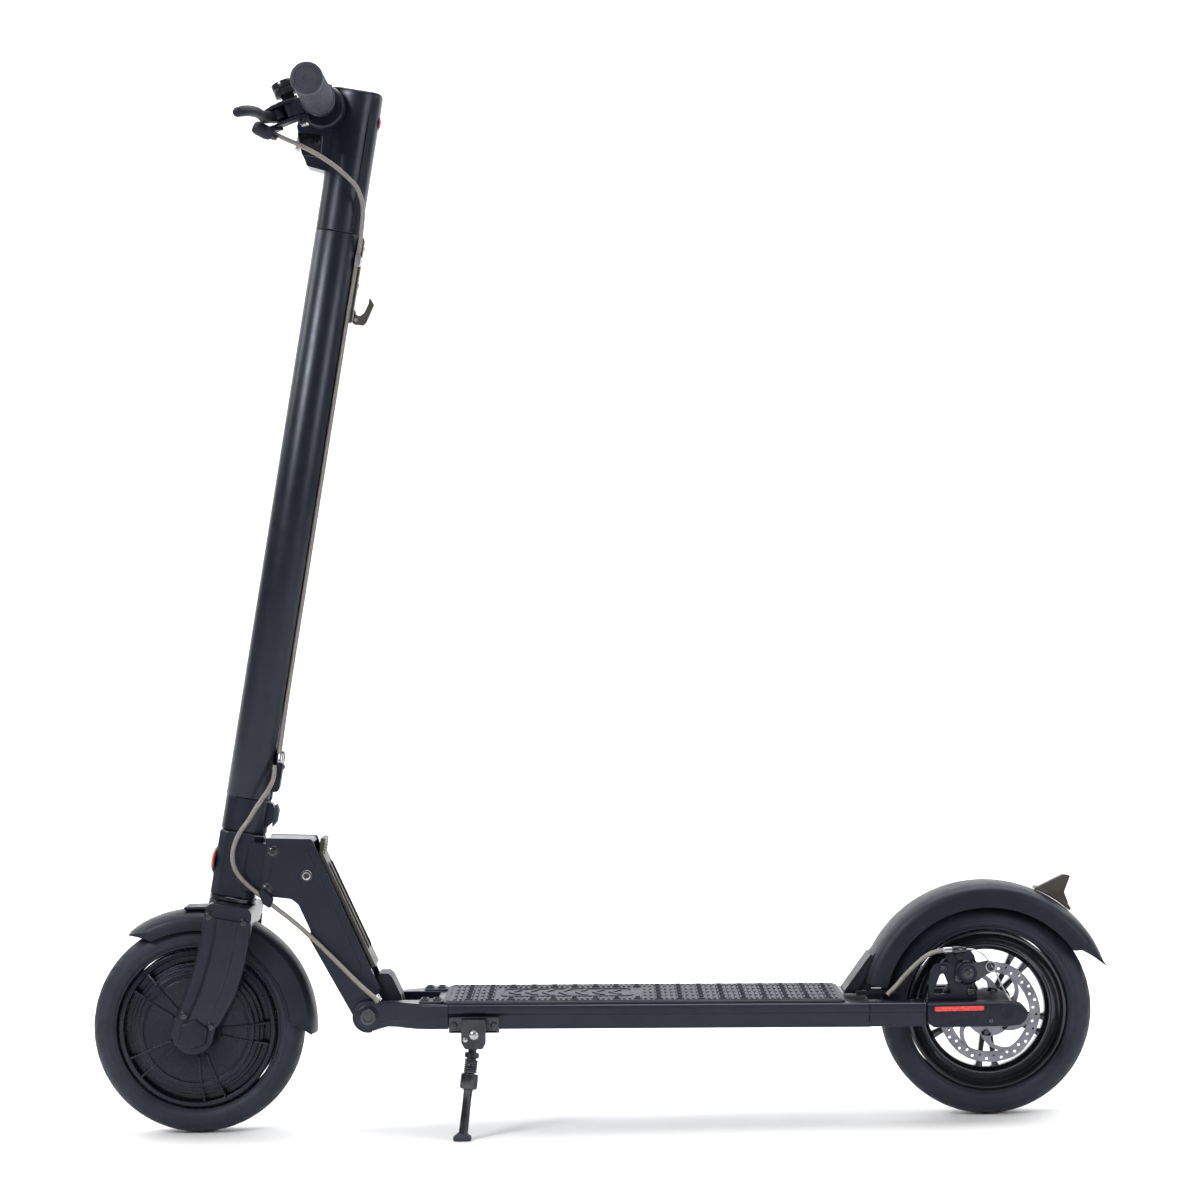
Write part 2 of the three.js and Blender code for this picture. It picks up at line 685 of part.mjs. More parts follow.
// From the folding pivot's two ears back to the extrusion, with room for the folded neck.
function frontCasting() {
  const [px, pz] = [-87.2, 9.8];
  const plan = [
    [-90, 36.5], [-90, 43], [-62, 43], [-34, 74], [-GAP, 75],
    [-GAP, -75], [-34, -74], [-62, -43], [-90, -43], [-90, -36.5],
    [FLOOR_END, -36], [FLOOR_END, 36],
  ];
  const body = slab(plan, 0, 26);
  const ears = mirrored((side) => acrossY(17, px, pz, side * EAR_IN, side * EAR_OUT, 28));
  const tongue = box(-70, FLOOR_END + 1, -23, 23, -2, 9);
  const floor = plate([[-47, -1.5], [FLOOR_END + 1, 23], [FLOOR_END + 1, 0], [-22, -2]], -36, 36);
  const plug = box(-2, 30, -44.5, 44.5, 3.6, 22.4);
  const room = [
    box(-120, -72, -EAR_IN, EAR_IN, -20, 40),
    acrossY(29.8, px, pz, -34.8, -24.4),
    acrossY(29.8, px, pz, 24.4, 34.8),
  ];
  const nose = [[-110, -20], [-104, 3], [-104, 17], [-87, 26.8], [-87, 60], [-120, 60], [-120, -20]];
  const shoulders = cut(join(body, ears, tongue, floor), plate(nose, -60, 60), ...room);
  return cut(join(shoulders, ears, plug), acrossY(6.3, px, pz, -60, 60, 20));
}

function foldBolt() {
  const shaft = acrossY(5, PIVOT_X, PIVOT_Z, -44, 44, 16);
  const heads = mirrored((side) => acrossY(8.5, PIVOT_X, PIVOT_Z, side * (EAR_OUT + GAP), side * 46.3, 24));
  return join(shaft, heads);
}

function latchBracket() {
  const rear = [[-226, 167.3], [-222, 163.5], [-213, 144], [-209, 123.5]];
  return plate([[-236, 123.5], [-238, 160], [-236.5, 167.5], ...rear], -21, 21);
}

add(deck, "deck_extrusion", deckExtrusion(), looks.frame);
add(deck, "bottom_cover", bottomCover(), looks.plastic);
add(deck, "deck_mat", deckMat(), looks.rubber);
add(deck, "controller", controller(), looks.plastic);
add(deck, "front_casting", frontCasting(), looks.frame);
add(scooter, "fold_bolt", foldBolt(), looks.steel);
add(scooter, "latch_bracket", latchBracket(), looks.plastic);

// ---------- Rear end ----------
function rearArm(side) {
  const outline = new THREE.Shape();
  outline.moveTo(318, 108);
  outline.lineTo(318, 121);
  outline.lineTo(347, 124.5);
  outline.lineTo(352, 128);
  outline.lineTo(424, 127.5);
  outline.absarc(REAR_X + 8, 114.5, 12, Math.PI / 2, -Math.PI / 2, true);
  outline.lineTo(352, 107.2);
  const arm = plate(outline, side * 57, side * 63);
  return cut(arm, acrossY(5.9, REAR_X, WHEEL_R, -90, 90, 20));
}

// The steel plate that carries the caliper, bolted inside the left arm.
function caliperBracket() {
  const front = [[352, 120], [348, 131], [352, 163], [358, 168]];
  const outline = [...front, [372, 170], [396, 150], [402, 131], [396, 120]];
  const window = plate([[356, 141], [364, 156], [371, 141]], -60, -50);
  return cut(plate(outline, -56.7, -53), window);
}

function caliper() {
  const outer = acrossY(15, 390.6, 158.7, -61, -39, 24);
  const inner = acrossY(13, 390.6, 158.7, -35, -30.5, 20);
  const bridge = plate([[379, 160], [370, 175], [388, 182], [398, 176], [400, 164], [388, 165]], -56, -30.5);
  const stop = acrossY(4, 384, 182.7, -68, -54, 12);
  const post = box(380, 388, -66, -54, 170, 182);
  const solid = join(outer, inner, bridge, stop, post);
  const disc = acrossY(ROTOR_R + 1, REAR_X, WHEEL_R, ROTOR_Y - 1.8, ROTOR_Y + 1.8, 48);
  const seat = plate([[340, 100], [340, 200], [372.5, 171.5], [397.5, 151.5], [404, 100]], -57, -52.7);
  return cut(solid, disc, seat, alongX(2, 370, 400, -61, 182.7, 10));
}

function caliperArm() {
  const hub = acrossY(10, 390.6, 158.7, -66, -61.4, 20);
  const arm = plate([[392, 151], [414, 159], [419, 163], [418, 170], [412, 170.5], [390, 166]], -66, -62);
  const bolt = acrossY(4.5, 415, 165, -69.5, -61, 12);
  return join(hub, arm, bolt);
}

function armCover(side) {
  const outline = new THREE.Shape();
  outline.moveTo(345.8, 108);
  outline.lineTo(345.8, 129.6);
  outline.lineTo(430, 129.6);
  outline.quadraticCurveTo(447, 128.5, 451, 119);
  outline.quadraticCurveTo(452.5, 110, 443, 104.5);
  outline.lineTo(433, 103.2);
  outline.lineTo(352, 103.6);
  const cover = plate(outline, side * 63.4, side * 80);
  const nutRoom = acrossY(11, REAR_X, WHEEL_R, side * 60, side * 74, 20);
  const reflectorRoom = box(352, 406, side * 78, side * 82, 120.4, 126);
  return cut(cover, nutRoom, reflectorRoom.translate(0, side * 0.2, 0));
}

function sideReflector(side) {
  return box(352.4, 405.6, side * 78.6, side * 81, 120.8, 125.6);
}

function rearFender() {
  const sweep = guard(138, 110.5, 40, 20.2, 171).translate(REAR_X, 0, WHEEL_R);
  const foot = plate([[262, 134.2], [263, 138], [288, 174], [292, 172], [284, 134.2]], -24, 24);
  const ledgeSide = [[276, 134.2], [276, 137.5], [312, 137.5], [312, 133.8]];
  const ledge = mirrored((side) => plate(ledgeSide, side * 20, side * 38));
  const clear = acrossY(116.5, REAR_X, WHEEL_R, -28, 28, 48);
  return cut(join(sweep, foot, ledge), box(0, 360, -90, 90, 0, 134.2), clear);
}

// A fin on a strip that follows the guard's crown.
function fenderCatch() {
  const from = THREE.MathUtils.degToRad(48.5);
  const to = THREE.MathUtils.degToRad(66);
  const strip = new THREE.Shape();
  strip.absarc(REAR_X, WHEEL_R, 138.7, from, to);
  strip.absarc(REAR_X, WHEEL_R, 142, to, from, true);
  const fin = [[474, 241], [477.2, 243], [502.7, 255.1], [510.6, 253.9], [503.1, 236], [508.6, 221.5]];
  return join(plate([...fin, [493, 231]], -6, 6), plate(strip, -11, 11));
}

for (const [side, label] of [[-1, "left"], [1, "right"]]) {
  add(scooter, "rear_arm_" + label, rearArm(side), looks.steel);
  add(scooter, "arm_cover_" + label, armCover(side), looks.plastic);
  add(scooter, "side_reflector_" + label, sideReflector(side), looks.red);
}
add(scooter, "caliper_bracket", caliperBracket(), looks.frame);
add(scooter, "caliper", caliper(), looks.plastic);
add(scooter, "caliper_arm", caliperArm(), looks.plastic);
add(scooter, "rear_fender", rearFender(), looks.plastic);
add(scooter, "fender_catch", fenderCatch(), looks.bronze);

// ---------- Kickstand ----------
const STAND_PIVOT = [-132.5, 109]; // across the scooter, outside the left side wall
const STAND_Y = -82.5;

function kickstandBracket() {
  const base = box(0, 54, -77, -48, -3.2, -GAP);
  const wall = box(0, 54, -76.6, -73.4, -3.2, 14);
  const inner = box(14, 40, -76.4, -73.4, -9, 5);
  const outer = plate([[14, 12], [14, -11], [18, -18], [37, -18], [40, -11], [40, 12]], -93.6, -90.8);
  const bridge = box(14, 40, -93, -74, 9, 12);
  const flange = box(0, 54, -77, -74, -3.2, 3);
  return join(base, wall, inner, outer, bridge, flange);
}

// The leg stands between its pivot and its foot; what is made along -Z is turned to lie on that line.
function onLeg(make) {
  const foot = new THREE.Vector3(-146.5, -97, 3);
  const top = new THREE.Vector3(STAND_PIVOT[0], STAND_Y, STAND_PIVOT[1]);
  const down = foot.clone().sub(top).normalize();
  const turn = new THREE.Quaternion().setFromUnitVectors(new THREE.Vector3(0, 0, -1), down);
  return make(foot.distanceTo(top)).applyQuaternion(turn).translate(top.x, top.y, top.z);
}

function kickstandLeg() {
  const leg = onLeg((reach) => join(
    alongZ(4.6, -20, 0, 0, 0, 12),
    alongZ(7.8, -25, -19.5, 0, 0, 16),
    alongZ(4.7, -reach, -20, 0, 0, 12),
    alongZ(9.6, -57, -42, 0, 0, 16),
  ));
  const head = acrossY(8, STAND_PIVOT[0], STAND_PIVOT[1], STAND_Y - 4.6, STAND_Y + 4.6, 20);
  const pad = slab(roundedRectangle(-156.5, -137.5, -105, -89, 5), 0, 5);
  return join(head, leg, pad);
}

function kickstandSpring() {
  return onLeg(() => cut(alongZ(7.4, -41.6, -25.4, 0, 0, 20), alongZ(5.1, -50, -20, 0, 0, 16)));
}

add(deck, "kickstand_bracket", kickstandBracket(), looks.plastic);
add(scooter, "kickstand_leg", kickstandLeg(), looks.plastic);
add(scooter, "kickstand_spring", kickstandSpring(), looks.steel);

// ---------- Brake cable from the stem to the caliper ----------
// It loops round the head tube's left side, runs to the deck, and comes out again by the rear wheel.
const LOWER_ROUTE = [
  [-343, -19, 393], [-344, -25, 380], [-348, -31, 370], [-355, -37, 359], [-362, -43, 348.5],
  [-369, -46, 337], [-378, -47, 325], [-384, -46, 313], [-387, -44, 302], [-387, -42, 291],
  [-383, -40, 280], [-375.5, -38.6, 270], [-367, -38, 262], [-358.5, -38, 255], [-346, -38, 244.5],
  [-325.5, -39, 228], [-304, -41, 208.5], [-279, -45, 184], [-256, -50, 161], [-238.5, -54, 145.5],
  [-234, -55, 141.8],
];
const REAR_ROUTE = [
  [305.5, -57, 136.5], [315.4, -57, 146], [326, -57, 158], [340.4, -58, 171.5], [353, -60, 180],
  [367, -61, 183], [375, -61, 183],
];

add(scooter, "lower_cable", cord(LOWER_ROUTE, CABLE_R), looks.cable);
add(scooter, "rear_cable", cord(REAR_ROUTE, CABLE_R), looks.cable);

export default scooter;
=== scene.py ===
"""An electric kick scooter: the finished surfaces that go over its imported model.

Local shapes are written in millimetres, in the frame of the group that they belong to, and piece()
places them in metres: +X to the rear wheel, +Y to the rider's right, +Z up.
"""

import math

import bmesh
import bpy
from mathutils import Matrix, Vector


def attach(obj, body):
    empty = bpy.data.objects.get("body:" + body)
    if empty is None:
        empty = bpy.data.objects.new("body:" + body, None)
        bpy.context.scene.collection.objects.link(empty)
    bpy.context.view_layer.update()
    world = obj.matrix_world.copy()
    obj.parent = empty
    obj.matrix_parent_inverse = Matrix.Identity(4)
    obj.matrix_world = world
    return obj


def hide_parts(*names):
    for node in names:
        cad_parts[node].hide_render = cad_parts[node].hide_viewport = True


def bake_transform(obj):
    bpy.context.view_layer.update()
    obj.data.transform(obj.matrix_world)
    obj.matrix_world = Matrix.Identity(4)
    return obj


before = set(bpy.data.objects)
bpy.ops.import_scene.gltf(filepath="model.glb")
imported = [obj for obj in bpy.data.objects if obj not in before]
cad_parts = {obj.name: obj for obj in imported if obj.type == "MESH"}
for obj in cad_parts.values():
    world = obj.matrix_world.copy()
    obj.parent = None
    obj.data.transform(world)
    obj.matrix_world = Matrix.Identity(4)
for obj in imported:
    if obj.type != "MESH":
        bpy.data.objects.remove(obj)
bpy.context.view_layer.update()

# ---------- Driving dimensions, in millimetres ----------
WHEEL_R = 113.4
RIM_R = 85
FRONT_AXLE = (-431.9, 0, WHEEL_R)
REAR_AXLE = (415.6, 0, WHEEL_R)
LEAN = math.radians(10.35)
DIP = math.radians(31.85)
HEAD_TOP = (-379.6, 0, 323.3)
FORK_AXLE = (-13.7, -215.9)
STEM_R = 25
BAR = (-34.6, 780)
FOLD_PIVOT = (-247, 124)
LEVER_PIN = (-310, 275.2)
DECK_FRONT = (-160, 0, 112.6)
DECK_PITCH = math.radians(1.03)
CALIPER = (390.6, 158.7)
MM = 0.001
SIDES = ((-1, "left"), (1, "right"))

WORLD = Matrix.Identity(4)
STEERING = Matrix.Translation(HEAD_TOP) @ Matrix.Rotation(LEAN, 4, "Y")
DECK = Matrix.Translation(DECK_FRONT) @ Matrix.Rotation(DECK_PITCH, 4, "Y")
FRONT = Matrix.Translation(FRONT_AXLE)
REAR = Matrix.Translation(REAR_AXLE)
CONTROL = (
    STEERING
    @ Matrix.Translation((BAR[0], 0, BAR[1]))
    @ Matrix.Rotation(math.pi - DIP, 4, "Y")
    @ Matrix.Diagonal((1, 1, -1, 1))
)


# ---------- Materials ----------
COOL = (0.8, 0.86, 1.0, 1)  # the tint of the highlights on looks with no metal in them
WHITE = (1, 1, 1, 1)


def material(name, colour, roughness, metallic=0.0, coat=0.0, specular=0.5):
    look = bpy.data.materials.new(name)
    look.use_nodes = True
    shader = look.node_tree.nodes["Principled BSDF"]
    shader.inputs["Base Color"].default_value = (*colour, 1)
    shader.inputs["Roughness"].default_value = roughness
    shader.inputs["Metallic"].default_value = metallic
    shader.inputs["Coat Weight"].default_value = coat
    shader.inputs["Specular IOR Level"].default_value = specular
    shader.inputs["Specular Tint"].default_value = WHITE if metallic else COOL
    return look, look.node_tree, shader


def coordinates(tree):
    return tree.nodes.new("ShaderNodeTexCoord").outputs["Object"]


def noise(tree, scale, detail=4.0, stretch=None):
    """A noise texture in metres, drawn out along an axis where stretch is given."""
    texture = tree.nodes.new("ShaderNodeTexNoise")
    texture.inputs["Scale"].default_value = scale
    texture.inputs["Detail"].default_value = detail
    source = coordinates(tree)
    if stretch:
        mapping = tree.nodes.new("ShaderNodeMapping")
        mapping.inputs["Scale"].default_value = stretch
        tree.links.new(source, mapping.inputs["Vector"])
        source = mapping.outputs["Vector"]
    tree.links.new(source, texture.inputs["Vector"])
    return texture.outputs["Fac"]


def vary(tree, fac, socket, low, high):
    """Lets a texture move a shader value between low and high."""
    span = tree.nodes.new("ShaderNodeMapRange")
    span.inputs["From Min"].default_value = 0.3
    span.inputs["From Max"].default_value = 0.7
    span.inputs["To Min"].default_value = low
    span.inputs["To Max"].default_value = high
    tree.links.new(fac, span.inputs["Value"])
    tree.links.new(span.outputs["Result"], socket)


def tint(tree, fac, socket, dark, light):
    ramp = tree.nodes.new("ShaderNodeValToRGB")
    ramp.color_ramp.elements[0].position = 0.35
    ramp.color_ramp.elements[0].color = (*dark, 1)
    ramp.color_ramp.elements[1].position = 0.65
    ramp.color_ramp.elements[1].color = (*light, 1)
    tree.links.new(fac, ramp.inputs["Fac"])
    tree.links.new(ramp.outputs["Color"], socket)


def bump(tree, fac, shader, strength, distance):
    node = tree.nodes.new("ShaderNodeBump")
    node.inputs["Strength"].default_value = strength
    node.inputs["Distance"].default_value = distance
    tree.links.new(fac, node.inputs["Height"])
    tree.links.new(node.outputs["Normal"], shader.inputs["Normal"])


def speckled(name, dark, light, roughness, grain, depth, metallic=0.0, coat=0.0, specular=0.5):
    """A moulded or painted finish: a fine grain in the surface, and a slow drift in tone and gloss."""
    look, tree, shader = material(name, light, roughness[0], metallic, coat, specular)
    tint(tree, noise(tree, scale=28, detail=5), shader.inputs["Base Color"], dark, light)
    vary(tree, noise(tree, scale=90, detail=6), shader.inputs["Roughness"], *roughness)
    bump(tree, noise(tree, scale=grain, detail=3), shader, strength=0.35, distance=depth)
    return look


def brushed(name, dark, light, roughness, stretch):
    """Bare metal, with a grain drawn out along one axis."""
    look, tree, shader = material(name, light, roughness[0], metallic=1.0)
    grain = noise(tree, scale=60, detail=6, stretch=stretch)
    tint(tree, grain, shader.inputs["Base Color"], dark, light)
    vary(tree, grain, shader.inputs["Roughness"], *roughness)
    bump(tree, grain, shader, strength=0.12, distance=0.00005)
    return look


def braided(name, dark, light):
    """Two sets of strands that cross, by the sleeve's own coordinates along and around it."""
    look, tree, shader = material(name, light, roughness=0.42, metallic=0.55)
    sleeve = tree.nodes.new("ShaderNodeUVMap")
    sleeve.uv_map = "sleeve"
    waves = []
    for lean in (1, -1):
        mapping = tree.nodes.new("ShaderNodeMapping")
        mapping.inputs["Rotation"].default_value = (0, 0, lean * math.radians(45))
        tree.links.new(sleeve.outputs["UV"], mapping.inputs["Vector"])
        wave = tree.nodes.new("ShaderNodeTexWave")
        wave.inputs["Scale"].default_value = 5.0
        tree.links.new(mapping.outputs["Vector"], wave.inputs["Vector"])
        waves.append(wave.outputs["Fac"])
    weave = tree.nodes.new("ShaderNodeMath")
    weave.operation = "MULTIPLY"
    for wave, socket in zip(waves, weave.inputs):
        tree.links.new(wave, socket)
    strands = weave.outputs["Value"]
    tint(tree, strands, shader.inputs["Base Color"], dark, light)
    bump(tree, strands, shader, strength=0.6, distance=0.0002)
    return look


def prismatic(name, colour):
    """A moulded reflector: small prisms under a glossy face. A lighter copy of the red is laid towards each
    prism cell's edge as a painted highlight, and the face has a faint painted glow.
    """
    look, tree, shader = material(name, colour, roughness=0.3, coat=0.3)
    cells = tree.nodes.new("ShaderNodeTexVoronoi")
    cells.inputs["Scale"].default_value = 420
    tree.links.new(coordinates(tree), cells.inputs["Vector"])
    # painted highlight: a lighter copy of the red, laid towards each prism cell's edge, stands in for the
    # prisms catching light
    prism_highlight_tone = [min(1, c * 1.25 + 0.02) for c in colour]
    tint(tree, cells.outputs["Distance"], shader.inputs["Base Color"], colour, prism_highlight_tone)
    bump(tree, cells.outputs["Distance"], shader, strength=0.25, distance=0.0003)
    # painted glow: the face gives off a faint light in its own red, though it is no lamp
    shader.inputs["Emission Color"].default_value = (*colour, 1)
    shader.inputs["Emission Strength"].default_value = 0.12
    return look


# name of the finish, dark tone, light tone, roughness from and to, grain's scale, grain's depth in metres
LOOKS = {
    "frame": speckled("satin paint", (0.0052, 0.0061, 0.0115), (0.0074, 0.0087, 0.0156), (0.28, 0.37),
                      1500, 0.00003, specular=0.38),
    "black paint": speckled("gloss black paint", (0.003, 0.0036, 0.007), (0.0048, 0.0056, 0.0102),
                            (0.24, 0.33), 1200, 0.00002, coat=0.05, specular=0.3),
    "plastic": speckled("moulded plastic", (0.0052, 0.006, 0.0095), (0.0078, 0.0088, 0.0135), (0.4, 0.52),
                        1100, 0.00005, specular=0.3),
    "gloss": speckled("gloss plastic", (0.006, 0.0065, 0.008), (0.008, 0.0085, 0.0105), (0.16, 0.24),
                      700, 0.00002, coat=0.4),
    "rubber": speckled("moulded rubber", (0.016, 0.0175, 0.024), (0.023, 0.025, 0.034), (0.6, 0.74),
                       900, 0.00008),
    "mat": speckled("mat rubber", (0.017, 0.019, 0.025), (0.025, 0.0275, 0.036), (0.52, 0.64), 900, 0.00008),
    "tyre": speckled("tyre rubber", (0.0072, 0.0084, 0.0138), (0.0112, 0.013, 0.0205), (0.52, 0.66),
                     520, 0.00012, specular=0.4),
    "bronze": speckled("bronze anodising", (0.044, 0.041, 0.037), (0.064, 0.06, 0.054), (0.4, 0.5),
                       1300, 0.00003, metallic=0.45, specular=0.35),
    "steel": brushed("brushed steel", (0.42, 0.43, 0.45), (0.66, 0.67, 0.69), (0.22, 0.34), (1, 14, 1)),
    "rotor steel": brushed("rotor steel", (0.15, 0.15, 0.172), (0.25, 0.25, 0.285), (0.3, 0.42), (1, 14, 1)),
    "zinc": speckled("zinc plate", (0.34, 0.34, 0.36), (0.52, 0.52, 0.54), (0.25, 0.36),
                     800, 0.00002, metallic=1.0),
    "dark steel": speckled("blackened steel", (0.04, 0.041, 0.046), (0.07, 0.072, 0.08), (0.2, 0.3),
                           900, 0.00003, metallic=0.9),
    "cable": braided("braided sleeve", (0.12, 0.108, 0.096), (0.5, 0.465, 0.42)),
    # the reflectors' red, with painted highlights on the prisms and a faint painted glow
    "red": prismatic("red reflector", (0.5, 0.02, 0.016)),
    "button": speckled("red button", (0.55, 0.02, 0.015), (0.66, 0.03, 0.02), (0.22, 0.3),
                       600, 0.00002, coat=0.5),
    "lens": speckled("smoked lens", (0.0025, 0.0028, 0.0035), (0.0035, 0.004, 0.005), (0.05, 0.09),
                     300, 0.00001, coat=1.0),
    "cell": speckled("shrink wrap", (0.02, 0.09, 0.22), (0.03, 0.13, 0.3), (0.2, 0.3),
                     400, 0.00004, coat=0.4),
    "copper": speckled("enamelled wire", (0.32, 0.12, 0.05), (0.45, 0.19, 0.08), (0.28, 0.4),
                       500, 0.0001, metallic=0.8),
}


# ---------- Shapes: each returns a bmesh in local millimetres ----------
def skin(rings, closed_rings=True, caps=True, loop=False):
    """Joins rings of points into one surface. A ring of one point closes the end by itself."""
    bm = bmesh.new()
    made = [[bm.verts.new(p) for p in ring] for ring in rings]
    pairs = list(zip(made, made[1:]))
    if loop:
        pairs.append((made[-1], made[0]))
    for a, b in pairs:
        count = max(len(a), len(b))
        steps = count if closed_rings else count - 1
        for i in range(steps):
            j = (i + 1) % count
            corners = [a[i % len(a)], a[j % len(a)], b[j % len(b)], b[i % len(b)]]
            unique = list(dict.fromkeys(corners))
            if len(unique) > 2:
                bm.faces.new(unique)
    if caps and not loop:
        for ring in (made[0], made[-1]):
            if len(ring) > 2:
                bm.faces.new(ring)
    return bm


def combined(*parts):
    """Several shapes joined into the first of them. The others are used up."""
    whole = parts[0]
    for part in parts[1:]:
        mesh = bpy.data.meshes.new("part")
        part.to_mesh(mesh)
        part.free()
        whole.from_mesh(mesh)
        bpy.data.meshes.remove(mesh)
    return whole


def moved(bm, matrix):
    bm.transform(matrix)
    return bm


def rounded(points, radius, steps=4):
    """An outline with its corners turned into arcs. radius is one number, or one for each corner."""
    made = []
    count = len(points)
    for i, point in enumerate(points):
        r = radius[i] if isinstance(radius, (list, tuple)) else radius
        here = Vector(point)
        back = Vector(points[i - 1]) - here
        ahead = Vector(points[(i + 1) % count]) - here
        turn = back.angle(ahead)
        if r <= 0 or turn > math.pi - 0.02:
            made.append(tuple(here))
            continue
        reach = min(r / math.tan(turn / 2), back.length * 0.48, ahead.length * 0.48)
        first = here + back.normalized() * reach
        last = here + ahead.normalized() * reach
        for k in range(steps + 1):
            t = k / steps
            made.append(tuple(first * (1 - t) ** 2 + here * 2 * t * (1 - t) + last * t * t))
    return made


def arc(cx, cz, r, start, end, steps=16):
    """Points of an arc, in degrees."""
    made = []
    for k in range(steps + 1):
        a = math.radians(start + (end - start) * k / steps)
        made.append((cx + r * math.cos(a), cz + r * math.sin(a)))
    return made


def oblong(x0, x1, y0, y1, r, steps=6):
    return rounded([(x0, y0), (x1, y0), (x1, y1), (x0, y1)], r, steps)


def prism(outline, y0, y1):
    """An outline in X-Z with its thickness along Y."""
    return skin([[(x, y, z) for x, z in outline] for y in (y0, y1)])


def slab(outline, z0, z1):
    """An outline in X-Y with its thickness along Z."""
    return skin([[(x, y, z) for x, y in outline] for z in (z0, z1)])


def frame_plate(outline, hole, y0, y1):
    """A plate with one hole: outline and hole have the same number of points."""
    rings = [[(x, y, z) for x, z in line] for line, y in ((outline, y0), (outline, y1),
                                                          (hole, y1), (hole, y0))]
    return skin(rings, caps=False, loop=True)


def block(x0, x1, y0, y1, z0, z1):
    return slab([(x0, y0), (x1, y0), (x1, y1), (x0, y1)], z0, z1)


def polar(r, angle):
    return (r * math.cos(angle), r * math.sin(angle))


def ring_points(r, steps, phase=0.0):
    return [polar(r, 2 * math.pi * k / steps + phase) for k in range(steps)]


def mirrored(points):
    """The same points on the other side, in the order that goes on round the outline."""
    return [(r, -y) for r, y in reversed(points)]


def turned(profile, steps=96):
    """A profile of (radius, y) turned about Y, closed on itself, or on the axis where its ends lie there."""
    rings = []
    for r, y in profile:
        if r <= 0:
            rings.append([(0, y, 0)])
        else:
            rings.append([(x, y, z) for x, z in ring_points(r, steps)])
    return skin(rings, caps=False, loop=profile[0][0] > 0)


def rod(r, start, end, steps=32):
    """A straight round bar between two points."""
    a, b = Vector(start), Vector(end)
    turn = (b - a).to_track_quat("Z", "Y")
    ring = [turn @ Vector((x, y, 0)) for x, y in ring_points(r, steps)]
    return skin([[tuple(centre + p) for p in ring] for centre in (a, b)])


def stack(profile, start, direction, steps=48):
    """Turned about a line: profile is (radius, distance along it), from axis to axis or ring to ring."""
    base, way = Vector(start), Vector(direction).normalized()
    turn = way.to_track_quat("Z", "Y")
    rings = []
    for r, t in profile:
        centre = base + way * t
        if r <= 0:
            rings.append([tuple(centre)])
        else:
            rings.append([tuple(centre + turn @ Vector((x, y, 0))) for x, y in ring_points(r, steps)])
    return skin(rings)


def smooth_line(points, per_span=8):
    """A Catmull-Rom line through the points."""
    line = [Vector(p) for p in points]
    line = [2 * line[0] - line[1], *line, 2 * line[-1] - line[-2]]
    made = []
    for i in range(1, len(line) - 2):
        a, b, c, d = line[i - 1: i + 3]
        for k in range(per_span):
            t = k / per_span
            made.append(0.5 * (2 * b + (c - a) * t + (2 * a - 5 * b + 4 * c - d) * t * t
                               + (3 * b - a - 3 * c + d) * t ** 3))
    made.append(line[-2])
    return made


def sweep(line, section):
    """Carries a section (points across, up) along a line, without twist."""
    way = (line[1] - line[0]).normalized()
    side = way.orthogonal().normalized()
    rings = []
    for i, point in enumerate(line):
        ahead = line[min(i + 1, len(line) - 1)] - line[max(i - 1, 0)]
        turned_way = ahead.normalized()
        side = (way.rotation_difference(turned_way) @ side).normalized()
        way = turned_way
        up = way.cross(side)
        rings.append([tuple(point + side * a + up * b) for a, b in section])
    return skin(rings)


# ---------- Pieces ----------
SHARP = math.radians(32)


def new_object(name, bm):
    """An object that holds the shape, in the scene."""
    mesh = bpy.data.meshes.new(name)
    bm.to_mesh(mesh)
    bm.free()
    obj = bpy.data.objects.new(name, mesh)
    bpy.context.collection.objects.link(obj)
    return obj


def soften(obj, width, segments):
    """Rounds the sharp edges, by a width in millimetres."""
    edges = obj.modifiers.new("bevel", "BEVEL")
    edges.width = width * MM
    edges.segments = segments
    edges.limit_method = "ANGLE"
    edges.angle_limit = SHARP
    return edges


def piece(name, bm, place, look, body, stands_for=(), bevel=0.0, segments=3, flat=False):
    """Places a shape, in metres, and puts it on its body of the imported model."""
    bm.transform(Matrix.Scale(MM, 4) @ place)
    bmesh.ops.recalc_face_normals(bm, faces=bm.faces)
    obj = new_object(name, bm)
    obj.data.materials.append(LOOKS[look])
    if not flat:
        obj.data.shade_smooth()
        obj.data.set_sharp_from_angle(angle=SHARP)
    if bevel:
        soften(obj, bevel, segments).harden_normals = True
    if body:
        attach(obj, body)
    if stands_for:
        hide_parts(*stands_for)
    return obj


def screw(name, centre, outward, r, place, body, look="dark steel", height=1.6):
    """A button head with a hexagon socket."""
    socket, sides, per_face = r * 0.48, 24, 4
    profile = [(r, 0), (r, height * 0.45), (r * 0.92, height * 0.8), (r * 0.72, height), (socket, height)]
    base, way = Vector(centre), Vector(outward).normalized()
    turn = way.to_track_quat("Z", "Y")
    rings = []
    for radius, t in profile:
        rings.append([tuple(base + way * t + turn @ Vector((x, y, 0)))
                      for x, y in ring_points(radius, sides)])
    hexagon = ring_points(socket * 0.96, 6)
    for depth in (height, height * 0.25):
        wall = []
        for k in range(sides):
            a, b = Vector(hexagon[k // per_face]), Vector(hexagon[(k // per_face + 1) % 6])
            x, y = a.lerp(b, (k % per_face) / per_face)
            wall.append(tuple(base + way * depth + turn @ Vector((x, y, 0))))
        rings.append(wall)
    return piece(name, skin(rings), place, look, body)


# ---------- Camera, floor and light ----------
def camera():
    """The photograph's view: level, along +Y, with a small roll."""
    roll = math.radians(1.35)
    view = bpy.data.objects.new("camera", bpy.data.cameras.new("camera"))
    view.data.lens = 91.67
    view.data.sensor_width = 36
    right = Vector((math.cos(roll), 0, -math.sin(roll)))
    up = Vector((math.sin(roll), 0, math.cos(roll)))
    turn = Matrix((right, up, (0, -1, 0))).transposed()
    view.matrix_world = Matrix.Translation((0.01055, -3.3, 0.5626)) @ turn.to_4x4()
    bpy.context.collection.objects.link(view)
    bpy.context.scene.camera = view


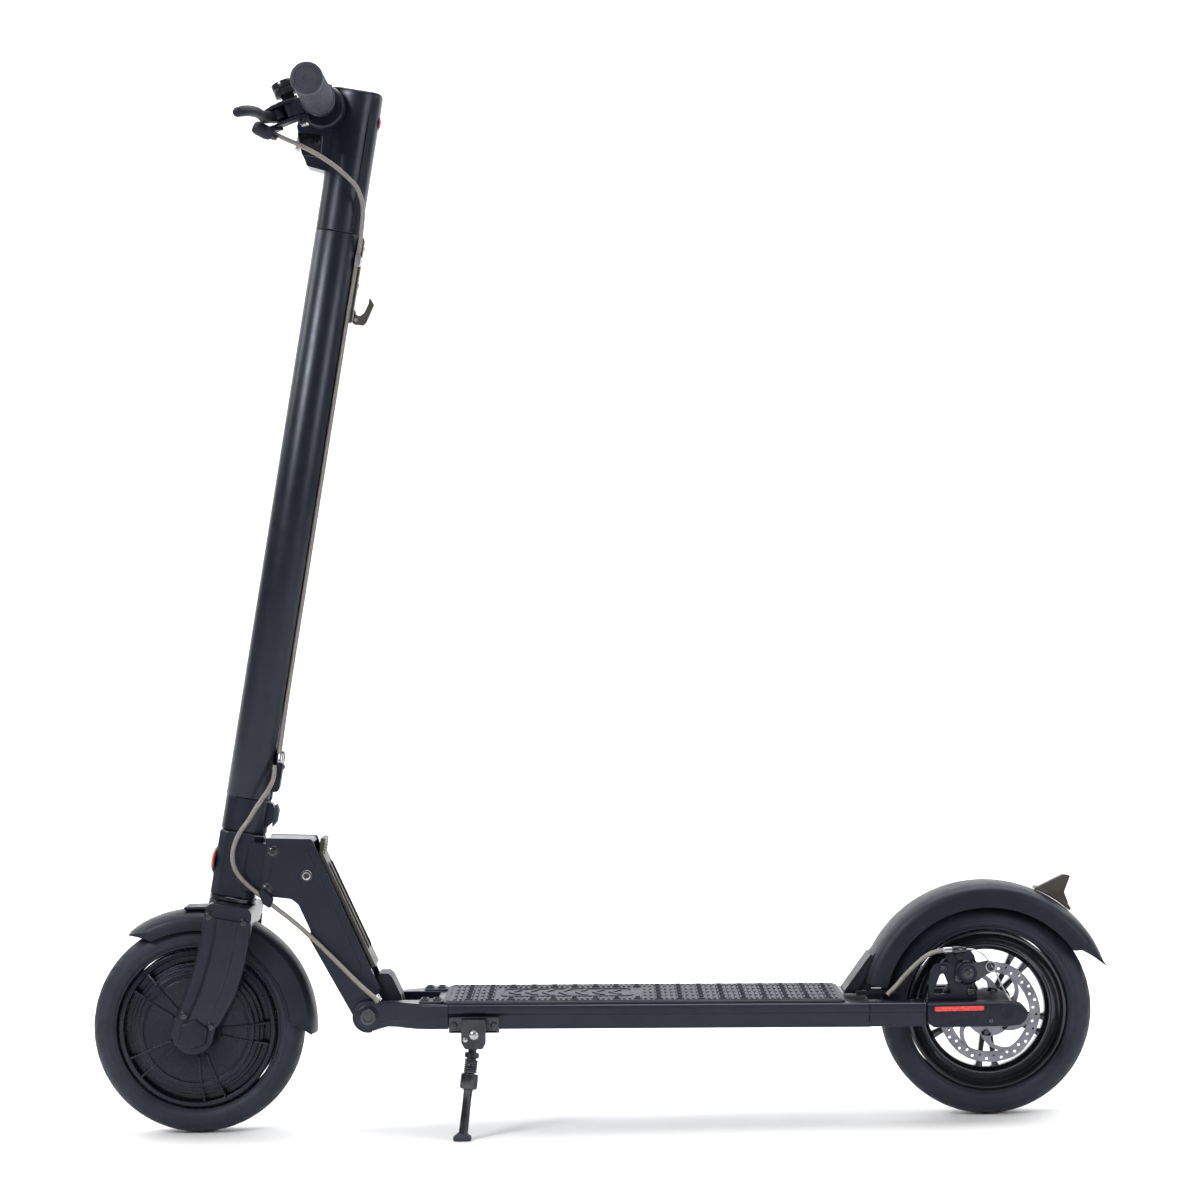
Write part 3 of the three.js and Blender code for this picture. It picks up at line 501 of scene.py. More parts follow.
def backdrop():
    """A pale floor, half a millimetre below the wheels, that bends up behind the scooter. In metres."""
    bend, back, front, width, height, steps = 1.2, 3.0, 6.0, 9.0, 6.0, 24
    profile = [(-front, 0.0), (back - bend, 0.0)]
    for k in range(1, steps + 1):
        a = math.pi / 2 * k / steps
        profile.append((back - bend + bend * math.sin(a), bend - bend * math.cos(a)))
    profile.append((back, height))
    sheet = skin([[(x, y, z) for y, z in profile] for x in (-width, width)], closed_rings=False, caps=False)
    floor = new_object("floor", sheet)
    floor.data.materials.append(material("pale floor", (0.86, 0.86, 0.86), roughness=0.6)[0])
    floor.data.shade_smooth()
    floor.location.z = -0.0005


LIGHTS = (  # name, place, the point it shines at, size, power
    ("key", (-2.4, -2.8, 2.6), (0, 0, 0.5), 1.2, 125),
    ("fill", (2.8, -2.6, 1.6), (0, 0, 0.4), 1.4, 45),
    ("top", (0.2, 0.6, 3.6), (0, 0.6, 0.0), 3.0, 130),
    ("back left", (-2.6, 1.0, 2.6), (-1.4, 3.0, 0.6), 2.2, 75),
    ("back right", (2.6, 1.0, 2.6), (1.4, 3.0, 0.6), 2.2, 75),
)


def lights():
    """Five soft lights in a dim white world."""
    world = bpy.data.worlds.new("studio")
    world.use_nodes = True
    background = world.node_tree.nodes["Background"]
    background.inputs["Color"].default_value = WHITE
    background.inputs["Strength"].default_value = 0.2
    bpy.context.scene.world = world
    bpy.context.scene.view_settings.view_transform = "Standard"
    for name, place, aim, size, power in LIGHTS:
        light = bpy.data.lights.new(name, "AREA")
        light.energy = power
        light.size = size
        lamp = bpy.data.objects.new(name, light)
        lamp.location = place
        lamp.rotation_euler = (Vector(aim) - Vector(place)).to_track_quat("-Z", "Y").to_euler()
        bpy.context.collection.objects.link(lamp)


# ---------- Brake cable ----------
# The sheath's route in three lengths: down the stem, round the neck into the deck, and out to the caliper.
UPPER_ROUTE = [
    (-74, -94, 735.4), (-60, -88, 732), (-44, -81, 728.5), (-27, -71, 723.5), (-9, -60, 716),
    (4, -49, 708.5), (15, -39, 700), (22, -31, 688), (25, -25, 675), (25.8, -19, 657), (26, -13, 640),
    (24.7, -8.8, 622), (24.4, -8.8, 560), (24.4, -8.8, 460), (24.4, -8.8, 360), (24.4, -8.8, 260),
    (24.4, -8.8, 160), (25.5, -10, 100), (26.2, -14, 86),
]
LOWER_ROUTE = [
    (-343, -19, 393), (-344, -25, 380), (-348, -31, 370), (-355, -37, 359), (-362, -43, 348.5),
    (-369, -46, 337), (-378, -47, 325), (-384, -46, 313), (-387, -44, 302), (-387, -42, 291),
    (-383, -40, 280), (-375.5, -38.6, 270), (-367, -38, 262), (-358.5, -38, 255), (-346, -38, 244.5),
    (-325.5, -39, 228), (-304, -41, 208.5), (-279, -45, 184), (-256, -50, 161), (-238.5, -54, 145.5),
    (-234, -55, 141.8),
]
REAR_ROUTE = [
    (305.5, -57, 136.5), (315.4, -57, 146), (326, -57, 158), (340.4, -58, 171.5), (353, -60, 180),
    (367, -61, 183), (375, -61, 183),
]
CABLE_R = 2.5
CLIP = 13  # the lower route's point in the neck's clip


def sheath(name, route, place):
    """A braided sheath along a route, with coordinates in centimetres along and around it."""
    line = [place @ Vector(p) for p in smooth_line(route)]
    sides = 14
    bm = sweep(line, ring_points(CABLE_R, sides))
    sleeve = bm.loops.layers.uv.new("sleeve")
    bm.verts.index_update()
    lengths = [0.0]
    for a, b in zip(line, line[1:]):
        lengths.append(lengths[-1] + (b - a).length)
    around, centimetre = 2 * math.pi * CABLE_R, 0.1
    for face in bm.faces:
        sectors = [v.index % sides for v in face.verts]
        wraps = max(sectors) - min(sectors) > sides / 2
        for loop, sector in zip(face.loops, sectors):
            turn = sector + sides if wraps and sector == 0 else sector
            along = lengths[loop.vert.index // sides]
            loop[sleeve].uv = (along * centimetre, turn / sides * around * centimetre)
    bm.transform(Matrix.Scale(MM, 4))
    obj = new_object(name, bm)
    obj.data.materials.append(LOOKS["cable"])
    obj.data.shade_smooth()
    return obj, [tuple(p * MM) for p in line], lengths[-1] * MM


def brake_cable():
    upper, path, length = sheath("cable_down_the_stem", UPPER_ROUTE, STEERING)
    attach(upper, "steering")
    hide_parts("upper_cable")

    loop_route, run_route = LOWER_ROUTE[: CLIP + 1], LOWER_ROUTE[CLIP:]
    loop, path, length = sheath("cable_round_the_neck", loop_route, WORLD)
    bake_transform(loop)
    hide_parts("lower_cable")
    run, path, length = sheath("cable_into_the_deck", run_route, WORLD)
    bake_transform(run)

    rear, path, length = sheath("cable_to_the_caliper", REAR_ROUTE, WORLD)
    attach(rear, "deck")
    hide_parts("rear_cable")


# ---------- Wheels ----------
def tyre(name, place, body, node):
    """A road tyre: plain side walls with moulded lines, and slanted grooves over the shoulders."""
    half = [(RIM_R + 0.8, 18), (RIM_R + 1.2, 20.4), (87.4, 22.4), (88.2, 22.5), (88.8, 22.1), (90.5, 23.6),
            (93, 24.6), (95.2, 25), (95.8, 24.6), (96.4, 24.9), (100, 24.5), (103.5, 23.3), (106.5, 21.4),
            (109, 18.7), (110.9, 15.6), (112.2, 12.2), (112.9, 9), (113.1, 6.2), (112.0, 5.7), (112.0, 4.9),
            (113.2, 4.4), (113.3, 1.6)]
    profile = half + mirrored(half)
    steps, grooves = 288, 36
    tread_r, plain_half = 104.5, 6.4  # the grooves lie above this radius, and outside the plain middle
    deepest, groove_half, slant = 1.3, 0.13, 0.055
    rings = []
    for r, y in profile:
        ring = []
        for k in range(steps):
            angle = 2 * math.pi * k / steps
            phase = (angle * grooves / (2 * math.pi) + abs(y) * slant) % 1.0
            in_tread = r > tread_r and abs(y) > plain_half
            depth = deepest * max(0.0, 1 - abs(phase - 0.5) / groove_half) ** 0.5 if in_tread else 0.0
            x, z = polar(r - depth, angle)
            ring.append((x, y, z))
        rings.append(ring)
    piece(name, skin(rings, caps=False, loop=True), place, "tyre", body, [node])


def hub_motor():
    """The turning shell: a rim, a deep ring, and a flat cover with five pairs of ribs on each side."""
    outside = [(9, 31), (16, 31.5), (17, 32.6), (24, 32.8), (25, 33), (54.5, 33), (55.2, 32.2), (56.4, 32.2),
               (57, 33), (61.4, 32.8), (62.2, 32), (62.4, 27.4), (63, 26.8), (66.4, 26.8), (67, 26.2),
               (67.2, 21.4), (67.8, 20.8), (70.6, 20.8), (71.2, 20), (71.4, 13), (77.6, 13), (78, 22),
               (78.4, 24.6), (79.4, 25.4), (83, 25), (84.2, 23.6), (RIM_R, 22.4), (RIM_R, 18)]
    profile = outside + mirrored(outside)
    piece("motor_shell", turned(profile, 128), FRONT, "black paint", "front_wheel",
          ["hub_motor_shell"], 0.35, 2)
    outline = rounded([(27, 32), (27, 34.4), (29, 35), (60, 35), (64, 31), (79, 27), (79, 14),
                       (60, 14)], 1.2, 2)
    first, apart, half_thick = 67, 8.5, 1.1
    ribs = []
    for side in (-1, 1):
        for pair in range(5):
            for lean in (-apart, apart):
                rib = skin([[(x, side * y, z) for x, y in outline] for z in (-half_thick, half_thick)])
                angle = math.radians(first + 72 * pair + lean)
                ribs.append(moved(rib, Matrix.Rotation(-angle, 4, "Y")))
    piece("motor_ribs", combined(*ribs), FRONT, "black paint", "front_wheel", bevel=0.5, segments=2)


ROTOR_START = 20  # degrees up from straight behind the axle to the rotor's first bolt and arm


def rear_rim():
    """An open alloy rim with five pairs of spokes."""
    flange = [(RIM_R, 18.2), (RIM_R, 20.6), (83.6, 21.4), (81.6, 21), (80.6, 18.6), (78.2, 16.4),
              (73.6, 13.4), (70.4, 12.6), (69.4, 13.8), (67.4, 13.8), (66.2, 12), (64, 9.4), (63, 6)]
    profile = flange + mirrored(flange)
    hub = turned([(7, -35.6), (15, -35.6), (16, -34.8), (16, -27), (23, -20.5), (24, -19), (24, 19),
                  (23, 20.5), (16, 27), (16, 34.2), (15, 35), (7, 35)], 64)
    first, apart, bolt_circle = 54, 8, 22
    spokes = []
    for pair in range(5):
        for side in (-1, 1):
            angle = math.radians(first + 72 * pair + side * apart)
            sections = []
            for x, wide, deep in ((20, 3.6, 10), (34, 2.9, 8.4), (52, 2.8, 7.6), (65, 4, 8.4)):
                sections.append([(x, y, z) for y, z in oblong(-deep, deep, -wide, wide, 1.6, 3)])
            spokes.append(moved(skin(sections), Matrix.Rotation(-angle, 4, "Y")))
    bolts = []
    for k in range(6):
        x, z = polar(bolt_circle, math.radians(60 * k + ROTOR_START))
        bolts.append(rod(3, (x, -40.4, z), (x, -38, z), 24))
    piece("rim", combined(turned(profile, 128), hub, *spokes), REAR, "gloss", "rear_wheel",
          ["rear_rim"], 0.4, 2)
    piece("rotor_bolts", combined(*bolts), REAR, "dark steel", "rear_wheel", bevel=0.5)
    seat = turned([(8, -35.9), (26, -35.9), (26, -34), (24, -30), (8, -30)], 64)
    piece("rotor_seat", seat, REAR, "gloss", "rear_wheel", bevel=0.3)


def rotor_track(y0, y1):
    """A ring with wavy edges, and with small holes that lie by turns nearer to and further from the hub."""
    inner_r, outer_r, wave, waves = 42.6, 54.6, 0.5, 6
    holes, sides, hole_r, circle, stagger = 40, 8, 1.5, 48.6, 1.6
    bm = bmesh.new()

    def place_at(r, a, y):
        return bm.verts.new((r * math.cos(a), y, r * math.sin(a)))

    layers = []
    for y in (y0, y1):
        cells = []
        for k in range(holes):
            middle = 2 * math.pi * k / holes + math.pi / holes
            hole = []
            for s in range(sides):
                t = 2 * math.pi * s / sides + math.pi / sides
                radial = circle + (stagger if k % 2 else -stagger) + hole_r * math.cos(t)
                hole.append(place_at(radial, middle + hole_r * math.sin(t) / circle, y))
            cells.append(hole)
        starts = [2 * math.pi * k / holes for k in range(holes)]
        inner = [place_at(inner_r + wave * math.cos(waves * a), a, y) for a in starts]
        outer = [place_at(outer_r - wave + wave * math.cos(waves * a), a, y) for a in starts]
        layers.append((inner, outer, cells))
    for inner, outer, cells in layers:
        for k in range(holes):
            n = (k + 1) % holes
            hole = cells[k]
            # the hole's points run from the outer side round through the later side, in steps of an eighth
            bm.faces.new([outer[k], outer[n], hole[0], hole[7]])
            bm.faces.new([outer[n], inner[n], hole[2], hole[1]])
            bm.faces.new([outer[n], hole[1], hole[0]])
            bm.faces.new([inner[n], inner[k], hole[4], hole[3]])
            bm.faces.new([inner[n], hole[3], hole[2]])
            bm.faces.new([inner[k], outer[k], hole[6], hole[5]])
            bm.faces.new([inner[k], hole[5], hole[4]])
            bm.faces.new([outer[k], hole[7], hole[6]])
    near, far = layers
    for k in range(holes):
        n = (k + 1) % holes
        for edge in (0, 1):
            bm.faces.new([near[edge][k], near[edge][n], far[edge][n], far[edge][k]])
        for s in range(sides):
            e = (s + 1) % sides
            bm.faces.new([near[2][k][s], near[2][k][e], far[2][k][e], far[2][k][s]])
    return bm


def rotor_arms(y0, y1):
    """Six arms from the seat out to the track, each swept round and narrowest at its waist."""
    seat_r, track_r, waist_r, width, swept, steps = 22, 44, 34, 3.4, 34, 8
    arms = []
    for k in range(6):
        left, right = [], []
        for step in range(steps + 1):
            t = step / steps
            r = seat_r + (track_r - seat_r) * t
            a = math.radians(60 * k + ROTOR_START + swept * t * t)
            spread = width / r * (1 + 0.7 * abs(r - waist_r) / 12)
            left.append(polar(r, a + spread))
            right.append(polar(r, a - spread))
        arms.append(prism(left + right[::-1], y0, y1))
    return arms


def brake_rotor():
    """A drilled steel disc: its track, the ring on the hub, and the arms between them."""
    y0, y1 = -38, -36
    ring = turned([(8, y0), (26, y0), (26, y1), (8, y1)], 72)
    whole = combined(rotor_track(y0, y1), ring, *rotor_arms(y0, y1))
    piece("rotor", whole, REAR, "rotor steel", "rear_wheel", ["brake_rotor"], 0.22, 2)


def guard(profile_at, start, end, steps):
    """A wheel guard: its cross-section, a list of (radius, y), may change with the angle in degrees."""
    rings = []
    for k in range(steps + 1):
        degrees = start + (end - start) * k / steps
        a = math.radians(degrees)
        rings.append([(r * math.cos(a), y, r * math.sin(a)) for r, y in profile_at(degrees)])
    return skin(rings)


def shell_section(crown, skirt, half, roof):
    """A guard's section: a domed roof, a crease at the shoulder and a skirt, hollow below."""
    wall = 2.2
    over = [(crown - 0.9, roof * 0.6), (crown - 2.2, roof), (crown - 5.2, half - 5.2),
            (crown - 8, half - 2.2)]
    side = [((crown + skirt) / 2, half - 0.6), (skirt + 1, half), (skirt, half - wall / 2),
            (skirt + 1, half - wall)]
    under = [(crown - 9.5, half - 4.2 - wall / 2), (crown - 6.6, half - 8), (crown - 4.4, roof * 0.8)]
    over = [(max(r, skirt + 0.6), y) for r, y in over]
    under = [(max(r, skirt + 0.2), y) for r, y in under]
    outline = [(crown, 0.0)] + over + side + under + [(crown - wall, 0.0)]
    return outline + mirrored(under) + mirrored(side) + mirrored(over)


def clamped(value):
    return min(1.0, max(0.0, value))


def ease(value, low, high):
    t = clamped((value - low) / (high - low))
    return t * t * (3 - 2 * t)


def front_fender():
    start, end = -4, 125

    def section(degrees):
        near_tip = clamped((degrees - 116) / 9)
        lower = 99 - 3 * ease(degrees, 0, 20) + 9 * ease(degrees, 44, 62)
        skirt = lower + near_tip * (123.6 - lower)
        skirt = max(skirt, 99 + 23 * (1 - clamped((degrees - start) / 6.5)))
        half = 30.5 - 4 * near_tip
        return shell_section(127.5 - near_tip, skirt, half, half * 0.6)

    piece("front_guard", guard(section, start, end, 96), FRONT, "plastic", "steering",
          ["front_fender"], 0.5, 2)
    stay = block(-12, 15, -20, 20, 127, 130)
    piece("front_guard_stay", stay, FRONT, "plastic", "steering", bevel=1)


def rear_fender():
    start, end, tip_length = 20.2, 166, 14

    def section(degrees):
        tip = 1 - min(1.0, (degrees - start) / tip_length)
        skirt = 110.8 + 5 * ease(tip, 0, 0.12) + 18 * tip
        half = 39.5 - 5 * tip
        return shell_section(138 - tip, skirt, half, half * 0.62)

    piece("rear_guard", guard(section, start, end, 120), REAR, "plastic", "deck", ["rear_fender"], 0.5, 2)
    foot_line = rounded([(262, 134.6), (263, 138), (291.5, 176), (297, 173), (287, 140), (287, 134.6)],
                        [0.8, 2, 2, 1, 4, 1], 4)
    parts = [prism(foot_line, -24, 24)]
    front_rib = rounded([(268, 138), (296, 178), (299.5, 176), (276, 137)], 1.2, 3)
    back_rib = rounded([(281, 137), (303, 168), (306, 165), (289, 137)], 1.2, 3)
    ledge = rounded([(274, 134.6), (274, 138.4), (316, 138.4), (318, 134.4)], 1, 3)
    for side in (-1, 1):
        for line, near, far in ((front_rib, 24, 27), (back_rib, 24.5, 27.5), (ledge, 22, 37.5)):
            parts.append(prism(line, side * near, side * far))
    piece("rear_guard_foot", combined(*parts), WORLD, "plastic", "deck", bevel=0.6)
    for side, label in SIDES:
        screw("guard_screw_" + label, (283, side * 33, 138.3), (0, 0, 1), 3.6, WORLD, "deck")


def fender_catch():
    fin = rounded([(474.5, 241.5), (477.4, 243.4), (502.7, 255.1), (510.6, 253.9), (503.4, 236), (508.6, 222),
                   (493, 231)], [1, 2, 2.5, 1.6, 6, 1.6, 4], 5)
    piece("catch_fin", prism(fin, -5.6, 5.6), WORLD, "bronze", "deck", ["fender_catch"], 1.1)
    cx, cz = REAR_AXLE[0], REAR_AXLE[2]
    foot = arc(cx, cz, 138.4, 48, 66.6, 10) + arc(cx, cz, 142, 66.2, 48.4, 10)
    piece("catch_foot", prism(foot, -11, 11), WORLD, "bronze", "deck", bevel=0.8)
    rim = arc(cx, cz, 141.6, 49, 65.6, 10) + arc(cx, cz, 143, 65.2, 49.4, 10)
    piece("catch_rim", prism(rim, -8.6, 8.6), WORLD, "bronze", "deck", bevel=0.6)


# ---------- Fork ----------
def fork_leg(side):
    """One leg, lofted from the crown to the dropout, with a raised facet down its outer face."""
    stations = (  # along the stem, front edge, rear edge, out, facet height
        (-92, -22, 29, 60.4, 3.0), (-100, -22, 29.4, 60.4, 3.0), (-115, -21.6, 30, 60.4, 3.0),
        (-132, -22.6, 29.8, 60.4, 3.0), (-150, -24.8, 27.6, 60.2, 3.0), (-167, -27.2, 25.0, 60, 3.0),
        (-184, -30.2, 19.5, 60, 2.8), (-198, -33.4, 14, 60, 2.4), (-206, -35.2, 11, 60, 2.0),
    )
    inner = 47
    rings = []
    for s, front, rear, out, facet in stations:
        wide = rear - front
        a, b = front + wide * 0.27, rear - wide * 0.29
        section = [(front, inner), (front, out - 3), (front + 2, out - 0.8), (a - 1.4, out),
                   (a + 1.8, out + facet), (b - 1.2, out + facet - 0.5), (b + 1.2, out),
                   (rear - 2, out - 0.8), (rear, out - 3), (rear, inner)]
        rings.append([(x, side * y, s) for x, y in section])
    leg = skin(rings)
    cx, cs = FORK_AXLE
    end = arc(cx, cs, 22.5, 167, 342, 22) + [(8.6, -200), (-35.4, -203)]
    return combined(leg, prism(end, side * inner, side * 59.4))


def fork():
    """The steerer, the crown and the two legs, with their screws and the caps over the front axle."""
    line = rounded([(-21.6, -98), (-21.6, -77), (28.2, -77), (28.2, -98)], [1, 9, 9, 1], 6)
    seat = stack([(0, 0), (25, 0), (25.5, -1.2), (25.5, -8), (0, -8)], (0, 0, -76.9), (0, 0, 1), 64)
    crown = combined(prism(line, -58.4, 58.4), seat)
    steerer = rod(15, (0, 0, -78), (0, 0, 46), 40)
    piece("fork_steerer", steerer, STEERING, "dark steel", "steering")
    piece("fork_crown", crown, STEERING, "frame", "steering", ["fork"], 3, 5)
    for side, label in SIDES:
        piece("fork_leg_" + label, fork_leg(side), STEERING, "frame", "steering", bevel=0.9)
        for n, (x, s) in enumerate(((-16.4, -90.8), (21.1, -91.7), (-25.7, -199), (4, -206))):
            out = 59.3 if n < 2 else 59.2
            boss = stack([(0, 0), (5.2, 0), (5.2, 0.7), (4.6, 1.1), (0, 1.1)], (x, side * out, s),
                         (0, side, 0), 32)
            piece(f"fork_boss_{label}_{n + 1}", boss, STEERING, "frame", "steering")
            screw(f"fork_screw_{label}_{n + 1}", (x, side * (out + 1.1), s), (0, side, 0), 3.8, STEERING,
                  "steering", "gloss")
        cx, cs = FORK_AXLE[0] + 1.3, FORK_AXLE[1] - 0.6
        points = ring_points(1, 6, math.radians(30))
        rings = []
        for r, y in ((16.4, 59.6), (16.4, 64), (15.2, 66.2), (13.4, 66.6)):
            ring = rounded([(cx + r * a, cs + r * b) for a, b in points], 2.4, 3)
            rings.append([(x, side * y, z) for x, z in ring])
        piece("axle_cap_" + label, skin(rings), STEERING, "plastic", "steering",
              ["fork_cover_" + label], 0.4, 2)
        notch = rounded([(-20, -203.4), (-6, -201.4), (-4.4, -196.2), (-18.4, -197.6)], 1.2, 3)
        piece("axle_cap_tab_" + label, prism(notch, side * 59, side * 61.4), STEERING, "gloss",
              "steering", bevel=0.5)


# ---------- Stem ----------
def stem():
    """The tube with the cable's groove down its rear face, and the charge port and guide at its foot."""
    groove_y, groove_half, groove_depth = -8.8, 3.6, 1.7
    section = []
    for x, y in ring_points(STEM_R, 128):
        if x > 0 and abs(y - groove_y) < groove_half:
            x -= groove_depth * math.sqrt(max(0.0, 1 - ((y - groove_y) / groove_half) ** 2))
        section.append((x, y))
    rings = [[(x * k, y * k, s) for x, y in section]
             for s, k in ((36.6, 0.985), (37.4, 1), (651.0, 1), (651.7, 0.985))]
    piece("stem", skin(rings), STEERING, "frame", "steering", ["stem_tube"])

    collar = stack([(15.4, 0), (23.8, 0), (24.6, 0.8), (24.6, 35.2), (24, 35.9), (15.4, 35.9)],
                   (0, 0, 0), (0, 0, 1), 96)
    piece("stem_collar_ring", collar, STEERING, "frame", "steering", ["stem_collar"])
    ports = rounded([(20, 34), (27, 34), (29.4, 28), (29.4, 13), (20, 2)], [0.5, 2, 3, 4, 0.5], 5)
    piece("charge_port", prism(ports, -9, 9), STEERING, "frame", "steering", bevel=1.6, segments=4)
    lid = rounded([(29.8, 33), (31.5, 33), (34.4, 27), (34.2, 14.6), (29.8, 8)], [0.3, 1.4, 3, 3, 0.3], 5)
    piece("charge_port_flap", prism(lid, -8.6, 8.6), STEERING, "rubber", "charge_flap",
          ["charge_flap"], 1.2, 3)
    guide = rounded([(24.4, 46), (30, 47), (31.6, 52), (31.6, 86), (29.6, 91), (24.4, 91)],
                    [0.3, 2, 2, 2, 2, 0.3], 4)
    piece("stem_cable_guide", prism(guide, -12, 3), STEERING, "plastic", "steering", bevel=1.4)
    exit_nut = stack([(0, 0), (3.6, 0), (3.8, 1), (3.8, 9), (3.2, 10), (0, 10)], (27.4, -14, 88),
                     (0.1, -0.35, -1), 24)
    piece("stem_cable_nut", exit_nut, STEERING, "zinc", "steering")
    screw("guide_screw", (31.5, -1.6, 74), (1, 0, 0), 2.6, STEERING, "steering")


def hook():
    strip = rounded([(25.4, 558.6), (28.6, 558.6), (29.4, 561), (29.4, 648), (28, 651.8), (25.4, 651.8)],
                    [0.3, 1, 1, 2, 2, 0.3], 4)
    piece("hook_strip", prism(strip, -7, 7), STEERING, "bronze", "steering", ["hook_bracket"], 0.9)
    for n, s in enumerate((600, 640)):
        screw(f"hook_screw_{n + 1}", (29.3, 2, s), (1, 0, 0), 3.4, STEERING, "steering", "zinc")
    clamp = rounded([(23.6, 619), (28.4, 619), (29.6, 621), (29.6, 629), (28.4, 631), (23.6, 631)], 1, 3)
    piece("cable_clamp", prism(clamp, -14.6, -4.6), STEERING, "zinc", "steering", bevel=1.2)
    outline = rounded([(31.5, 557.8), (42.1, 557.9), (45, 562), (50.2, 582.2), (43.7, 589.8), (44, 582),
                       (41, 571.5), (36.4, 567.2), (32.4, 569), (30.4, 575), (30.2, 559)],
                      [0.6, 3, 3, 2.4, 1.2, 3, 4, 3, 1.5, 0.6, 0.6], 5)
    piece("hook_arm", prism(outline, -3.4, 3.4), STEERING, "bronze", "stem_hook", ["stem_hook"], 0.9)
    pin = stack([(0, 0), (1.9, 0), (2.2, 0.5), (2.2, 9.5), (1.9, 10), (0, 10)],
                (33.4, -5, 562.5), (0, 1, 0), 24)
    piece("hook_pin", pin, STEERING, "zinc", "stem_hook")


def head():
    """The casting at the top: round at the seam, and widening forwards over the light to the display."""
    low, high, reach = 652.2, 804.6, 0.32
    rise = ((low, 0.0), (653, 0.0), (700, 0.02), (716, 0.1), (736, 0.3), (760, 0.52), (784, 0.78),
            (798, 0.95), (803, 1.0), (high, 1.0))
    rings = []
    for s, t in rise:
        tight = 0.975 if s in (low, high) else 1.0
        ring = []
        for x, y in ring_points(STEM_R - 0.1, 96):
            if x < 0:
                x = x * (1 + reach * t)
            ring.append((x * tight, y * tight, s))
        rings.append(ring)
    piece("head", skin(rings), STEERING, "frame", "steering", ["head_casting"], 0.7, 2)
    bx, bs = BAR
    boss = turned([(11.4, -38.4), (21, -38.4), (23, -36.8), (24, -33), (24, 33), (23, 36.8), (21, 38.4),
                   (11.4, 38.4)], 96)
    piece("head_boss", moved(boss, Matrix.Translation((bx, 0, bs))), STEERING, "frame", "steering")
    for side, label in SIDES:
        screw("bar_screw_" + label, (bx + 3, side * 30, bs + 23.6), (0, 0, 1), 3.6, STEERING, "steering")


def head_light():
    housing = rounded([(-18, 714), (-43.5, 717), (-46.6, 723), (-49.6, 727.2), (-60.5, 757), (-58, 789),
                       (-48, 797), (-18, 799)], [0.5, 3, 3, 1, 3, 8, 8, 0.5], 5)
    piece("light_housing", prism(housing, -17.4, 17.4), STEERING, "frame", "steering", bevel=2.6, segments=4)
    lens = rounded([(-50.2, 727.2), (-29.2, 727.2), (-31.2, 751.8), (-59.6, 751.8)], [2.4, 1, 1, 2.4], 5)
    piece("light_lens", prism(lens, -18.2, 18.2), STEERING, "lens", "steering", ["headlight_lens"], 1.4)
    front = skin([[(x - 0.2 * n, y, s) for y, s in oblong(-13 + n, 13 - n, 731 + n, 748 - n, 4)]
                  for x, n in ((-56.2, 0), (-58.8, 0), (-59.4, 1.2))])
    piece("light_reflector_bowl", front, STEERING, "steel", "steering", bevel=0.4)


def display():
    """The display's bezel, glass and three pips, the power button at the back, and a strip down each side."""
    rim = [[(x * k, y * k, s) for x, y in oblong(-31.6, 23.6, -19.6, 19.6, 12, 8)]
           for k, s in ((0.96, 803.6), (1.0, 804.4), (1.0, 805.4), (0.95, 806))]
    piece("display_bezel", skin(rim), STEERING, "plastic", "steering")
    glass = [[(x, y, s) for x, y in oblong(-28 + n, 20 - n, -16.4 + n, 16.4 - n, 9, 8)]
             for s, n in ((805.4, 0), (806.6, 0.5))]
    piece("display_glass", skin(glass), STEERING, "lens", "steering", ["display"])
    for n in range(3):
        pip = stack([(0, 0), (1.1, 0), (0, 0.5)], (-14 + 9 * n, 0, 806.5), (0, 0, 1), 16)
        piece(f"display_pip_{n + 1}", pip, STEERING, "zinc", "steering")
    bezel = stack([(5.1, -2), (7.6, -2), (7.6, 0.6), (7, 1.2), (5.4, 1.2), (5.1, 0.6)],
                  (24.2, 0, 776), (1, 0, 0), 48)
    piece("button_bezel", bezel, STEERING, "plastic", "steering")
    cap = stack([(0, 0), (4.7, 0), (4.7, 6.2), (4.2, 7), (2.8, 7.3), (0, 7.1)], (19.6, 0, 776), (1, 0, 0), 48)
    piece("button_cap", cap, STEERING, "button", "power_button", ["power_button"])
    for side, label in SIDES:
        strip = [[(x, side * y, s) for x, y in ((14.2, 20.8), (18.6, 17.0), (19.4, 17.8), (15.2, 21.6))]
                 for s in (657, 664, 774, 781)]
        piece("head_strip_" + label, skin(strip), STEERING, "plastic", "steering", bevel=0.4)


def packed_nodes():
    """Nodes that are inside the scooter, or plain enough, and so keep their packed surface."""
    for node, look in (("battery_pack", "cell"), ("motor_stator", "copper"), ("controller", "plastic"),
                       ("lever_pin", "dark steel"), ("rear_axle", "zinc"), ("bottom_cover", "plastic")):
        dress(node, look)


def dress(node, look):
    """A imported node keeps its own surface, with a finish and softened edges."""
    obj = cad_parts[node]
    obj.data.materials.clear()
    obj.data.materials.append(LOOKS[look])
    obj.data.shade_smooth()
    obj.data.set_sharp_from_angle(angle=SHARP)
    soften(obj, 0.4, 2)


